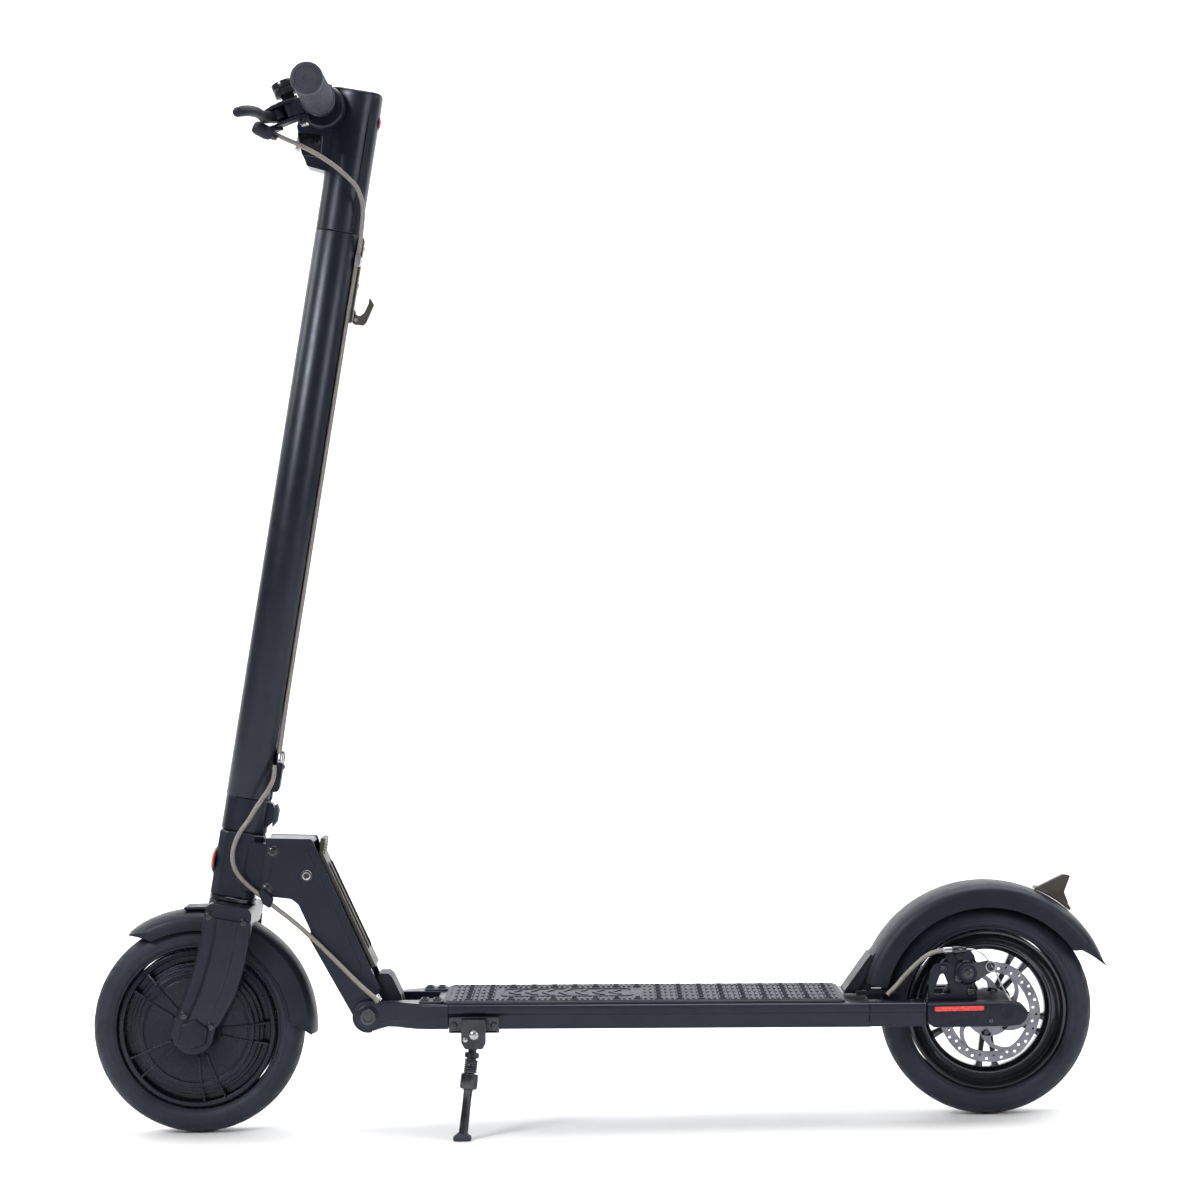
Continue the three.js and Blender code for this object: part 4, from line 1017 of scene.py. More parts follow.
# ---------- Handlebar ----------
def handlebar():
    bx, bs = BAR
    at_bar = STEERING @ Matrix.Translation((bx, 0, bs))
    tube = turned([(8.6, -211.4), (10.6, -212), (11.1, -211), (11.1, 211), (10.6, 212), (8.6, 211.4)], 64)
    piece("bar", tube, at_bar, "frame", "steering", ["handlebar"])
    rib_pitch, ribs_end = 3.1, 205
    profile = [(11.5, 92), (17.4, 92), (18.4, 92.8), (18.4, 95.4), (17.2, 96.4), (16.4, 97.2)]
    y = 99.0
    while y < ribs_end:
        profile += [(16.85, y), (16.85, y + 1.5), (16.3, y + 2.0), (16.3, y + 2.6)]
        y += rib_pitch
    profile += [(16.85, 206.6), (16.85, 211), (17.0, 212), (16.4, 214.2), (15, 215)]
    profile += [(12.6, 215), (12.2, 214.3), (3.2, 214.3), (2.8, 213.8)]
    end = 213.8
    for side, label in SIDES:
        rings = [[(x, side * t, z) for x, z in ring_points(r, 72)] for r, t in profile]
        rings.append([(0, side * end, 0)])
        piece("grip_cover_" + label, skin(rings), at_bar, "rubber", "steering", ["grip_" + label])


def brake_perch():
    """The left hand's brake, in the lever's own plane: its perch, the barrel and the cable's adjuster."""
    clamp = turned([(11.4, -91.4), (15.4, -91.4), (16.5, -90.4), (16.5, -77.2), (15.4, -76.2),
                    (11.4, -76.2)], 64)
    body = slab(rounded([(10, -90.6), (10, -77), (30, -77.6), (36, -79), (36, -94), (28, -92)], 2, 3), -8, 8)
    rails = [slab([(30, -77.4), (30, -74.4), (50, -75.4), (50, -77.6)], -10, 8)]
    rail = rounded([(22, -76.6), (50, -78.4), (58, -85), (57, -93), (49, -98.4), (36, -96.6), (22, -91)],
                   [2, 5, 5, 5, 5, 5, 2], 5)
    rail_thick = 3.2
    for low in (-12.6, 6.4):
        rails.append(slab(rail, low, low + rail_thick))
    piece("brake_clamp", combined(clamp, body, *rails), CONTROL, "plastic", "steering",
          ["brake_perch"], 1.1, 3)
    root, barrel = Vector((73.5, -99.5, -2)), Vector((-0.64, 0.2, -0.75)).normalized()
    nose = stack([(0, 0), (4.6, 0.5), (6.6, 2.4), (7.4, 5), (7.4, 16), (6.4, 20), (4.8, 22.4), (0, 22.4)],
                 root, barrel, 40)
    bridge = slab(rounded([(44, -80), (62, -84), (66, -92), (66, -102), (54, -99)], 2.5, 3), -15.6, -9.4)
    piece("brake_nose", combined(nose, bridge), CONTROL, "plastic", "steering", bevel=0.5)
    adjuster = stack([(0, 0), (4.2, 0), (4.2, 3.4), (3.2, 4), (3.2, 6.4), (0, 6.4)],
                     root + barrel * 22, barrel, 32)
    piece("brake_adjuster", adjuster, CONTROL, "dark steel", "steering")
    boss = stack([(0, 0), (5.4, 0), (5.4, 9), (4.9, 9.6), (0, 9.6)], (21, -84, -9), (0.2, 0, -1), 32)
    piece("clamp_boss", boss, CONTROL, "plastic", "steering")
    nut = stack([(0, 0), (3.9, 0), (3.9, 2.6), (3.4, 3.2), (2, 3.2), (2, 1.6), (0, 1.6)], (22.8, -84, -18),
                (0.2, 0, -1), 24)
    piece("clamp_nut", nut, CONTROL, "zinc", "steering")
    pivot = stack([(0, 0), (4.8, 0), (5, 0.6), (5, 1.6), (4.2, 2.2), (2.2, 2.2), (2.2, 1.2), (0, 1.2)],
                  (46, -88, 9.5), (0, 0, 1), 40)
    piece("brake_pivot", pivot, CONTROL, "zinc", "steering")
    screw("clamp_screw", (-4, -84, 15.6), (-0.2, 0, 1), 3.6, CONTROL, "steering", "zinc")


def rounded_box(angle):
    """A point of a section between a circle and a square, one across and one deep."""
    return [math.copysign(abs(v) ** 0.65, v) for v in (math.cos(angle), math.sin(angle))]


def brake_lever():
    """The blade, thinner past its knuckle, with a ball at the end."""
    middle = smooth_line([(48, -86, 0), (56, -98, 0), (60, -118, 0), (61.5, -140, 0), (66, -164, 0),
                          (73, -182, 0), (78.5, -189, 0)], 6)
    sides, up = 28, Vector((0, 0, 1))
    rings = []
    count = len(middle) - 1
    for i, point in enumerate(middle):
        t = i / count
        ahead = (middle[min(i + 1, count)] - middle[max(i - 1, 0)]).normalized()
        across = Vector((ahead.y, -ahead.x, 0))
        wide = 6.6 * (1 - 0.35 * ease(t, 0.05, 0.5)) + 1.2 * ease(t, 0.8, 1)
        deep = 6.0 - 0.4 * ease(t, 0.0, 0.4) - 0.8 * ease(t, 0.85, 1)
        section = [rounded_box(2 * math.pi * k / sides) for k in range(sides)]
        rings.append([tuple(point + across * (wide * a) + up * (deep * b)) for a, b in section])
    ball = stack([(0, -5.4), (2.8, -4.8), (5.2, -2.6), (5.8, 0), (5.2, 2.6), (2.8, 4.8), (0, 5.4)],
                 (78.2, -188.6, 0), (0, 0, 1), 32)
    knuckle = stack([(0, -6), (7.4, -6), (7.9, -5.4), (7.9, 5.4), (7.4, 6), (0, 6)],
                    (46.5, -87, 0), (0, 0, 1), 40)
    blade = combined(skin(rings), ball, knuckle)
    piece("brake_lever_blade", blade, CONTROL, "plastic", "brake_lever", ["brake_lever"])


def bell():
    strap = turned([(11.4, -73), (14.8, -73), (15.5, -72.2), (15.5, -60.8), (14.8, -60), (11.4, -60)], 64)
    stalk = block(8, 34, -72, -62, 4, 12)
    foot = block(22, 36, -72, -60.4, 9, 20)
    piece("bell_strap", combined(strap, stalk, foot), CONTROL, "plastic", "steering", ["bell"], 0.9)
    dome = stack([(0, 0), (12.6, 0), (13, 0.6), (13, 6.2), (12.4, 6.9), (12.4, 7.7), (13, 8.4), (13, 13.2),
                  (12.4, 15), (10.4, 16), (4, 16.6), (0, 16.7)], (29, -66, 19.4), (0, 0, 1), 72)
    piece("bell_dome", dome, CONTROL, "gloss", "steering")
    arm = rounded([(20, -58), (30, -56), (44, -56), (46, -58), (44, -59.6), (20, -59.6)],
                  [0.6, 1, 1.4, 1, 1, 0.6], 3)
    piece("bell_hammer", slab(arm, 14.2, 17.8), CONTROL, "plastic", "bell_striker", ["bell_striker"], 0.6)


def throttle():
    ring = turned([(11.4, 72), (16, 72), (17, 73), (17, 90), (16, 91), (11.4, 91)], 64)
    box = slab(rounded([(-4, 61), (17, 60.4), (20, 66), (20, 88), (15, 91), (-4, 90.6)],
                       [2, 4, 4, 4, 4, 2], 4), -13, -2)
    piece("throttle_housing", combined(ring, box), CONTROL, "plastic", "steering", ["throttle_body"], 1.2)
    hoop = turned([(11.4, 48), (13.8, 48), (14.5, 48.8), (14.5, 58.7), (13.8, 59.5), (11.4, 59.5)], 64)
    thumb = rounded([(8, 48.4), (8, 59.2), (24, 59.2), (36, 75), (41, 76.6), (44, 73), (34, 50.4),
                     (26, 48.2)], [0.5, 0.5, 3, 4, 3, 4, 6, 4], 4)
    piece("throttle_thumb", combined(hoop, slab(thumb, -13.8, -5.2)), CONTROL, "plastic", "throttle_paddle",
          ["throttle_paddle"], 1.5, 4)


# ---------- Neck ----------
def along_neck(off, up):
    """A point by the neck's rear face: off it to the rear, and up along it, from the folding pivot."""
    forwards, upwards = -57.9, 131
    slope = math.atan2(forwards, upwards)
    c, s = math.cos(slope), math.sin(slope)
    return (FOLD_PIVOT[0] + off * c + up * s, FOLD_PIVOT[1] - off * s + up * c)


def head_tube():
    section = rounded([(24, 14), (14, 24.5), (-14, 24.5), (-24.3, 12), (-24.3, -12), (-14, -24.5),
                       (14, -24.5), (24, -14)], 5, 4)
    rings = [[(x * k, y * k, s) for x, y in section] for s, k in ((-71, 0.97), (-70, 1), (-3, 1), (-2, 0.97))]
    piece("head_tube_body", skin(rings), STEERING, "frame", "neck", ["head_tube"])
    piece("head_tube_block", block(10, 46, -26.4, 26.4, -62, -9), STEERING, "frame", "neck", bevel=1)
    race = stack([(0, 0), (24.4, 0), (25.5, 0.8), (25.5, 4.4), (24.6, 5.2), (0, 5.2)],
                 (0, 0, -76.5), (0, 0, 1), 72)
    piece("lower_race", race, STEERING, "dark steel", "neck", ["headset_bearing"])
    cap = stack([(15.6, -1.9), (23.6, -1.9), (23.6, -0.9), (22.8, -0.5), (15.6, -0.5)],
                (0, 0, 0), (0, 0, 1), 72)
    piece("upper_race", cap, STEERING, "dark steel", "neck")
    bezel = stack([(13, 0), (15.4, 0), (15.4, 1), (14.6, 1.6), (13, 1.6)], (-24.2, 0, -36), (-1, 0, 0), 64)
    piece("front_reflector_bezel", bezel, STEERING, "plastic", "neck")
    face = stack([(0, 0), (13.2, 0), (13.2, 2.2), (12.4, 3.4), (9, 4.6), (5, 5.2), (0, 5.4)],
                 (-24.3, 0, -36), (-1, 0, 0), 64)
    piece("front_reflector_face", face, STEERING, "red", "neck", ["front_reflector"])


def neck():
    outline = rounded([(-354.6, 316.3), (-303.4, 314.2), (-301, 306.5), (-232.6, 149.1)], [1.5, 4, 3, 0.5], 4)
    outline += arc(FOLD_PIVOT[0], FOLD_PIVOT[1], 15, 22, -162, 18)
    outline += rounded([(-303.9, 208.8), (-319.7, 244.6), (-327, 250.6), (-363.6, 255.5)], [3, 8, 8, 1.5], 4)
    for side, label in SIDES:
        name = "neck_plate_" + label
        piece(name, prism(outline, side * 27, side * 33), WORLD, "frame", "neck", ["neck_frame"], 1.1, 4)
        inset = rounded([(-343, 306), (-309, 303.6), (-306, 297), (-253, 175), (-262, 152), (-299, 206),
                         (-315, 247), (-352, 262)], [6, 5, 4, 10, 8, 8, 10, 6], 5)
        piece("neck_face_" + label, prism(inset, side * 32.8, side * 33.7), WORLD, "frame", "neck", bevel=0.5)
        for n, (x, z) in enumerate(((-345.3, 301.8), (-352.7, 261.8))):
            washer = stack([(4.2, 0), (6.4, 0), (6.4, 0.7), (6, 1.1), (4.2, 1.1)], (x, side * 32.9, z),
                           (0, side, 0), 40)
            piece(f"neck_washer_{label}_{n + 1}", washer, WORLD, "gloss", "neck")
            screw(f"neck_bolt_{label}_{n + 1}", (x, side * 33.2, z), (0, side, 0), 4.8, WORLD, "neck",
                  "dark steel", 2.4)
        head = stack([(0, 0), (6.4, 0), (6.4, 1.6), (5.6, 2.6), (3.2, 3), (3.0, 2.2), (0, 2.2)],
                     (LEVER_PIN[0], side * 33.2, LEVER_PIN[1]), (0, side, 0), 40)
        piece("lever_pin_head_" + label, head, WORLD, "zinc", "neck", bevel=0.3)
    top = rounded([(-352, 312), (-352, 315.8), (-305, 313.8), (-303, 309)], [1, 1, 3, 1], 3)
    piece("neck_top", prism(top, -27.2, 27.2), WORLD, "frame", "neck", bevel=0.6)
    web = rounded([(-352, 253.8), (-352, 257), (-325, 254.4), (-316, 248), (-290, 188), (-293, 184),
                   (-321, 245.6), (-328, 251)], [1, 1, 5, 6, 2, 1, 8, 5], 4)
    piece("neck_web", prism(web, -27.2, 27.2), WORLD, "frame", "neck", bevel=0.6)
    sleeve = rod(10, (FOLD_PIVOT[0], -27.4, FOLD_PIVOT[1]), (FOLD_PIVOT[0], 27.4, FOLD_PIVOT[1]), 40)
    piece("neck_sleeve", sleeve, WORLD, "zinc", "neck")
    clip = rounded([(-361, 259), (-357, 263), (-345, 252), (-349, 241.5), (-357, 247)], [2, 2, 3, 2, 2], 4)
    piece("neck_cable_clip", prism(clip, -41.6, -33.2), WORLD, "plastic", "neck", bevel=1.2)


def lock_lever():
    """The plate up the neck's rear face, its ribs and thumb tab, and the ears round the lever's pin."""
    low, high, near, far = 44, 181, 24.5, 28.5
    plate = rounded([along_neck(near, low), along_neck(far, low), along_neck(far, high),
                     along_neck(near, high)], [1.4, 1.4, 1, 1], 3)
    piece("lock_plate", prism(plate, -25.4, 25.4), WORLD, "bronze", "lock_lever", ["lock_lever"], 1.2)
    tab_x, tab_z = along_neck(near, high - 2)
    tab = rounded([(tab_x - 0.5, tab_z - 2), (tab_x + 4, tab_z - 3), (tab_x + 7, tab_z + 16),
                   (tab_x + 1.5, tab_z + 17)], [1, 4, 1.5, 1.5], 4)
    piece("lock_tab", prism(tab, -22, 22), WORLD, "bronze", "lock_lever", bevel=1.2)
    grips = []
    for n in range(4):
        t = 3 + 3.2 * n
        x, z = tab_x + 4.3 + t * 0.16, tab_z - 3 + t
        grips.append(rod(0.8, (x, -16, z), (x, 16, z), 12))
    piece("lock_tab_ribs", combined(*grips), WORLD, "bronze", "lock_lever")
    rib = rounded([along_neck(28, 62), along_neck(30.2, 66), along_neck(30.2, 164), along_neck(28, 168)],
                  [0.3, 2, 2, 0.3], 3)
    piece("lock_rib", combined(prism(rib, -15.4, -11.6), prism(rib, 11.6, 15.4)), WORLD, "bronze",
          "lock_lever", bevel=0.6)
    ear = [along_neck(26, 120), along_neck(26, high)] + arc(LEVER_PIN[0], LEVER_PIN[1], 10, 90, 234, 12)
    piece("lock_ears", combined(prism(ear, -25.2, -21.5), prism(ear, 21.5, 25.2)), WORLD, "bronze",
          "lock_lever", bevel=0.5)


# ---------- Deck ----------
def deck():
    half_section = [(70, 0), (73, 4), (73, 14.6), (76, 17.6), (76, 24.6), (74.4, 26)]
    section = rounded(half_section + [(-y, z) for y, z in reversed(half_section)],
                      [1.5, 2, 2, 1.5, 1, 1, 1, 1, 1.5, 2, 2, 1.5], 4)
    middle = 13
    rings = [[(x, y * k, middle + (z - middle) * k) for y, z in section]
             for x, k in ((0, 0.994), (0.6, 1), (445.4, 1), (446, 0.996))]
    piece("deck_body", skin(rings), DECK, "frame", "deck", ["deck_extrusion"])
    for side, label in SIDES:
        tail = rounded([(46.4, 0.4), (70, 0.4), (73, 4), (73, 14.6), (76, 17.6), (76, 24.6), (74.4, 26),
                        (46.4, 26)], [1, 1.5, 2, 2, 1.5, 1, 1, 1], 4)
        rings = [[(x, side * y, z) for y, z in tail] for x in (444, 504.6)]
        piece("deck_tail_" + label, skin(rings), DECK, "frame", "deck", bevel=0.4, segments=2)
        end_cap = block(503.6, 506, side * 48, side * 72, 3, 23)
        piece("deck_end_cap_" + label, end_cap, DECK, "plastic", "deck", bevel=0.8)


SQUARE = (4.3, 9)  # half of each side of a hollow stud


def studs(places, size, z0, z1, look_name, name, hollow=False):
    """Small bars with steep sides, in one piece. size is half of each side; hollow ones have a pit on top."""
    steps = [(0, z0), (0.35, z1)]
    if hollow:
        steps += [(1.8, z1), (2.1, z0 + 0.3)]
    bm = bmesh.new()
    for x, y in places:
        rings = [[bm.verts.new((x + a * (size[0] - inset), y + b * (size[1] - inset), z))
                  for a, b in ((-1, -1), (1, -1), (1, 1), (-1, 1))] for inset, z in steps]
        bm.faces.new(rings[-1])
        bm.faces.new(rings[0][::-1])
        for low, top in zip(rings, rings[1:]):
            for i in range(4):
                j = (i + 1) % 4
                bm.faces.new([low[i], low[j], top[j], top[i]])
    return piece(name, bm, DECK, look_name, "deck", flat=True)


def raised_edge(outside, inside, z0, z1):
    """A low rim between two outlines, with its foot at z0."""
    rings = [[(x, y, z) for x, y in line] for line, z in ((outside, z0), (outside, z1),
                                                          (inside, z1), (inside, z0))]
    return skin(rings, caps=False, loop=True)


def mat():
    """The deck mat: a sheet with a rim, rows of bars, and chevrons in a rounded panel."""
    sheet = [[(x, y, z) for x, y in oblong(-6 + n, 420 - n, -70 + n, 70 - n, 8, 8)] for z, n in
             ((26.3, 0), (28.4, 0), (29, 0.6))]
    piece("mat", skin(sheet), DECK, "mat", "deck", ["deck_mat"])
    rim = raised_edge(oblong(-3, 417, -67, 67, 6, 6), oblong(-0.6, 414.6, -64.6, 64.6, 4.4, 6), 28.8, 29.9)
    piece("mat_border", rim, DECK, "mat", "deck", bevel=0.3, segments=2)
    first, pitch, count, bar_gap, square_gap = 6, 22.5, 19, 6, 14.4
    narrow, wide = [], []
    for x in (first + pitch * i for i in range(count)):
        rows = (-52, 52) if 40 < x < 195 else (-52, -26, 0, 26, 52)  # the panel takes the middle rows' place
        narrow += [(x + step, y) for y in rows for step in (0, bar_gap)]
        wide += [(x + square_gap, y) for y in rows if x + square_gap < 412]
    studs([p for p in narrow if p[0] < 414], (1.5, 9), 28.7, 30.7, "mat", "mat_bars")
    studs(wide, SQUARE, 28.7, 30.9, "mat", "mat_squares", hollow=True)
    bars = []
    for k in range(7):
        x = 66 + 18 * k
        reach = 27 - 3 * abs(k - 3)
        line = [(x - 5, 0), (x + 5, -reach), (x + 10, -reach), (x, 0), (x + 10, reach), (x + 5, reach)]
        bars.append(slab(rounded(line, 0.6, 2), 28.8, 30.4))
    piece("mat_chevrons", combined(*bars), DECK, "mat", "deck", bevel=0.4, segments=2)
    edge = raised_edge(oblong(54, 196, -32, 32, 14, 8), oblong(56.4, 193.6, -29.6, 29.6, 11.6, 8), 28.8, 30.2)
    piece("mat_panel_edge", edge, DECK, "mat", "deck", bevel=0.3, segments=2)


def front_casting():
    """The cast nose of the deck: a wide step at the seam that narrows to two ears round the folding pivot."""
    px, pz = -87.2, 9.8
    for side, label in SIDES:
        stations = (  # from the seam to the ear: x, inner face, outer face, underside, top, crease
            (-0.3, 35, 75.4, 0.4, 26, 14), (-18, 35, 74.6, 0.2, 26.8, 12), (-34, 35.8, 70, 0.0, 27, 9.8),
            (-46, 36, 62, 0.0, 27, 8.2), (-56, 36, 53, 0.0, 26.8, 6.8), (-66, 36, 46, -0.6, 26.6, 5.4),
            (-76, 36, 43.4, -3.6, 26.4, 4), (-86, 36, 43, -6.9, 26.4, 2.6),
        )
        rings = []
        for x, inner, outer, low, top, crease in stations:
            section = [(inner, low), (outer - 3, low), (outer - 1.4, low + 1.4), (outer - 1.1, crease - 0.6),
                       (outer, crease + 0.6), (outer, top - 2), (outer - 2, top), (inner + 0.6, top),
                       (inner, top - 0.8)]
            rings.append([(x, side * y, z) for y, z in section])
        shoulder = skin(rings)
        rim = arc(px, pz, 17, 100, 268, 24) + [(px + 4, pz - 16.6), (px + 8, pz + 16.6)]
        ear = prism(rim, side * 36, side * 43)
        boss = stack([(0, 0), (12.6, 0), (12.6, 0.8), (11.6, 1.3), (0, 1.3)], (px, side * 42.6, pz),
                     (0, side, 0), 48)
        piece("casting_" + label, combined(shoulder, ear), DECK, "frame", "deck", ["front_casting"], 0.9, 3)
        piece("casting_boss_" + label, boss, DECK, "frame", "deck")
        head = stack([(0, 0), (8.5, 0), (8.7, 0.5), (8.7, 2.6), (8.1, 3.2), (5, 3.2), (4.6, 1.2), (0, 1.2)],
                     (FOLD_PIVOT[0], side * 43.4, FOLD_PIVOT[1]), (0, side, 0), 48)
        piece("fold_bolt_head_" + label, head, WORLD, "dark steel", "deck", ["fold_bolt"])
        if side < 0:
            nut = stack([(0, 0), (4.4, 0), (4.4, 6), (3.6, 7), (0, 7)], (-75.2, -51, 27.6),
                        (-0.5, 0, 0.85), 24)
            piece("cable_port_nut", nut, DECK, "zinc", "deck")
    shaft = rod(5, (FOLD_PIVOT[0], -43, FOLD_PIVOT[1]), (FOLD_PIVOT[0], 43, FOLD_PIVOT[1]), 32)
    piece("fold_bolt_shaft", shaft, WORLD, "zinc", "deck")
    bridge = block(-13.6, -0.4, -35.6, 35.6, 0.4, 26.4)
    piece("casting_bridge", bridge, DECK, "frame", "deck", bevel=1.2)
    floor = rounded([(-47, -1.5), (-13, 22.6), (-13, 0), (-22, -2)], 1, 3)
    piece("casting_floor", prism(floor, -35.8, 35.8), DECK, "frame", "deck", bevel=0.6)
    tongue = block(-70, -13, -23, 23, -2, 9)
    piece("casting_tongue", tongue, DECK, "frame", "deck", bevel=1.6)
    strips = [slab(oblong(-32, -6, *sorted((side * 38, side * 66)), 6, 6), 26.9, 28.8) for side in (-1, 1)]
    piece("front_mats", combined(*strips), DECK, "mat", "deck", bevel=0.5)
    studs([(x, side * 52) for x in (-26, -13) for side in (-1, 1)], SQUARE, 28.6, 30.9, "mat",
          "front_mat_squares", hollow=True)


def latch():
    line = rounded([(-236, 123.5), (-238, 160), (-236.5, 167.5), (-226, 167.3), (-222, 163.5), (-213, 144),
                    (-209, 123.5)], [1, 5, 2, 2, 3, 8, 1], 4)
    piece("latch_block", prism(line, -21, 21), WORLD, "plastic", "deck", ["latch_bracket"], 1.4)
    for side, label in SIDES:
        web = rounded([(-232, 130), (-233, 156), (-227, 160), (-218, 142), (-216, 130)], 3, 3)
        piece("latch_web_" + label, prism(web, side * 20.8, side * 21.6), WORLD, "plastic", "deck", bevel=0.4)


# ---------- Rear end ----------
def drawn_in(outline, along, up):
    """The arm cover's outline, drawn in towards its middle by a share along and a share up."""
    return [(x + (398 - x) * along, z + (117 - z) * up) for x, z in outline]


def rear_arms():
    for side, label in SIDES:
        arm = [(318, 108), (318, 121), (347, 124.5), (352, 128), (424, 127.5)]
        arm += arc(423.6, 114.5, 12, 80, -80, 14) + [(352, 107.2)]
        piece("arm_plate_" + label, prism(arm, side * 57, side * 63), WORLD, "dark steel", "deck",
              ["rear_arm_" + label], 0.8)
        outline = rounded([(345.8, 108), (345.8, 129.6), (431, 129.6), (445.5, 126.6), (451.8, 118),
                           (450.4, 109.6), (443, 104), (432, 103.2), (352, 103.6)],
                          [3, 2, 12, 8, 6, 6, 7, 6, 3], 5)
        layers = ((outline, 63.4), (outline, 77.4), (drawn_in(outline, 0.012, 0.05), 78.8),
                  (drawn_in(outline, 0.05, 0.16), 80))
        rings = [[(x, side * y, z) for x, z in line] for line, y in layers]
        piece("arm_cover_shell_" + label, skin(rings), WORLD, "plastic", "deck",
              ["arm_cover_" + label], 0.4, 2)
        frame_line = oblong(351.6, 406.4, 119.6, 126.8, 2.4, 4)
        piece("reflector_frame_" + label, prism(frame_line, side * 78.5, side * 80.5), WORLD, "plastic",
              "deck", bevel=0.5)
        face = oblong(353, 405, 120.8, 125.6, 1.8, 4)
        piece("reflector_face_" + label, prism(face, side * 79, side * 81.2), WORLD, "red", "deck",
              ["side_reflector_" + label], 0.5)
        plug = stack([(0, 0), (7, 0), (7, 0.5), (6.2, 1.1), (2, 1.1), (1.8, 0.5), (0, 0.5)],
                     (429.6, side * 79.4, 116.7), (0, side, 0), 40)
        piece("axle_plug_" + label, plug, WORLD, "plastic", "deck")
        screw("arm_screw_" + label, (412, side * 79.7, 110), (0, side, 0), 2.6, WORLD, "deck")


def brake_caliper():
    """The caliper on its plate: body, lobes, bridge and fins, and the end of the cable's sheath."""
    cx, cz = CALIPER
    outline = rounded([(348, 121), (351, 160), (357, 168), (372, 170), (396, 150), (402, 131), (396, 120.6)],
                      [1, 6, 5, 4, 6, 5, 1], 4)
    hole = rounded([(354, 136), (362.4, 157), (366, 157.6), (374, 136)], [2, 3, 3, 2], 4)
    plate = carrier_plate(outline, hole, -56.7, -53)
    piece("caliper_plate", plate, WORLD, "frame", "deck", ["caliper_bracket"], 0.6)
    axis = (0, -1, 0)
    body = stack([(0, -4), (15, -4), (15.4, -3), (15.4, 6), (14, 7.4), (13.2, 14), (12.4, 15.4), (11, 16.4),
                  (0, 16.4)], (cx, -45, cz), axis, 72)
    inner = stack([(0, 0), (12, 0), (13, 1), (13, 3.8), (12.4, 4.4), (0, 4.4)], (cx, -30.6, cz), axis, 56)
    lobes = []
    for k in range(3):
        x, z = polar(11.5, math.radians(95 + 120 * k))
        lobes.append(stack([(0, 0), (4.6, 0), (4.6, 15), (3.8, 16), (0, 16)],
                           (cx + x, -45, cz + z), axis, 32))
    piece("caliper_lobes", combined(*lobes), WORLD, "gloss", "deck", bevel=0.3)
    bridge = rounded([(379, 161), (368, 175), (372, 180), (388, 183), (399, 177), (401, 165), (390, 166)],
                     [2, 5, 4, 5, 4, 2, 2], 4)
    piece("caliper_body", body, WORLD, "plastic", "deck", ["caliper"], 0.5)
    piece("caliper_inner", inner, WORLD, "plastic", "deck", bevel=0.3)
    piece("caliper_bridge", prism(bridge, -56, -30.6), WORLD, "plastic", "deck", bevel=1.4)
    fin, fin_thick = rounded([(380, 172), (378, 182), (396, 181), (398, 172)], 2, 3), 1.6
    fins = [prism(fin, y, y + fin_thick) for y in (-58, -61.4)]
    piece("caliper_fins", combined(*fins), WORLD, "plastic", "deck", bevel=0.4)
    for n, (x, z) in enumerate(((366, 163), (394, 138))):
        screw(f"caliper_screw_{n + 1}", (x, -57, z), (0, -1, 0), 4.4, WORLD, "deck", height=3.4)
    stop = stack([(0, 0), (4, 0), (4.4, 0.8), (4.4, 8), (3.6, 9.4), (3.6, 14), (2.8, 15), (0, 15)],
                 (375, -61, 183), (1, 0, 0), 32)
    piece("cable_barrel", stop, WORLD, "dark steel", "deck")
    ferrule = stack([(0, 0), (3.1, 0), (3.3, 0.5), (3.3, 9), (2.8, 9.6), (0, 9.6)], (365.5, -61, 182.9),
                    (1, 0, 0.02), 32)
    piece("cable_ferrule", ferrule, WORLD, "zinc", "deck")


def pull_arm():
    """The arm that the cable's inner wire pulls, and the wire itself."""
    cx, cz = CALIPER
    axis = (0, -1, 0)
    arm = rounded([(383, 152), (400, 151), (415, 158.6), (420, 163), (418.6, 170.5), (411, 171.4), (392, 168),
                   (382, 163)], [6, 6, 4, 4, 4, 3, 8, 6], 5)
    piece("pull_arm", prism(arm, -66, -62.6), WORLD, "dark steel", "caliper_arm", ["caliper_arm"], 0.7)
    hub = stack([(0, 0), (10, 0), (10.2, 0.6), (10.2, 3.2), (9.4, 4), (6.4, 4), (6, 3), (0, 3)],
                (cx, -62.4, cz), axis, 56)
    piece("pull_arm_hub", hub, WORLD, "plastic", "caliper_arm")
    screw("pull_arm_bolt", (cx, -65.2, cz), axis, 5, WORLD, "caliper_arm", height=2.4)
    screw("pinch_bolt", (415, -65.6, 165), axis, 4.6, WORLD, "caliper_arm", height=4)
    washer = stack([(0, 0), (5.6, 0), (5.8, 0.3), (5.6, 1.2), (0, 1.2)], (415, -65.2, 165), axis, 32)
    piece("pinch_washer", washer, WORLD, "zinc", "caliper_arm")
    wire = smooth_line([(389, -61.4, 183.4), (398, -63.4, 183), (407, -66.6, 178), (413, -68.2, 170.5),
                        (418, -68.4, 162), (425, -68, 147), (431.5, -68, 134)], 8)
    pinched, wire_r = 24, 0.75  # the wire's step at the pinch bolt, where the blend ends
    held, tail = wire[: pinched + 1], wire[pinched:]
    inner = piece("inner_wire", sweep(held, ring_points(wire_r, 10)), WORLD, "zinc", None)
    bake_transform(inner)
    piece("wire_tail", sweep(tail, ring_points(wire_r, 10)), WORLD, "zinc", "caliper_arm")
    cap = stack([(0, 0), (1.3, 0), (1.5, 0.4), (1.5, 9), (0, 9.8)], (430.6, -68, 136), (0.43, 0, -0.9), 16)
    piece("wire_end_cap", cap, WORLD, "zinc", "caliper_arm")


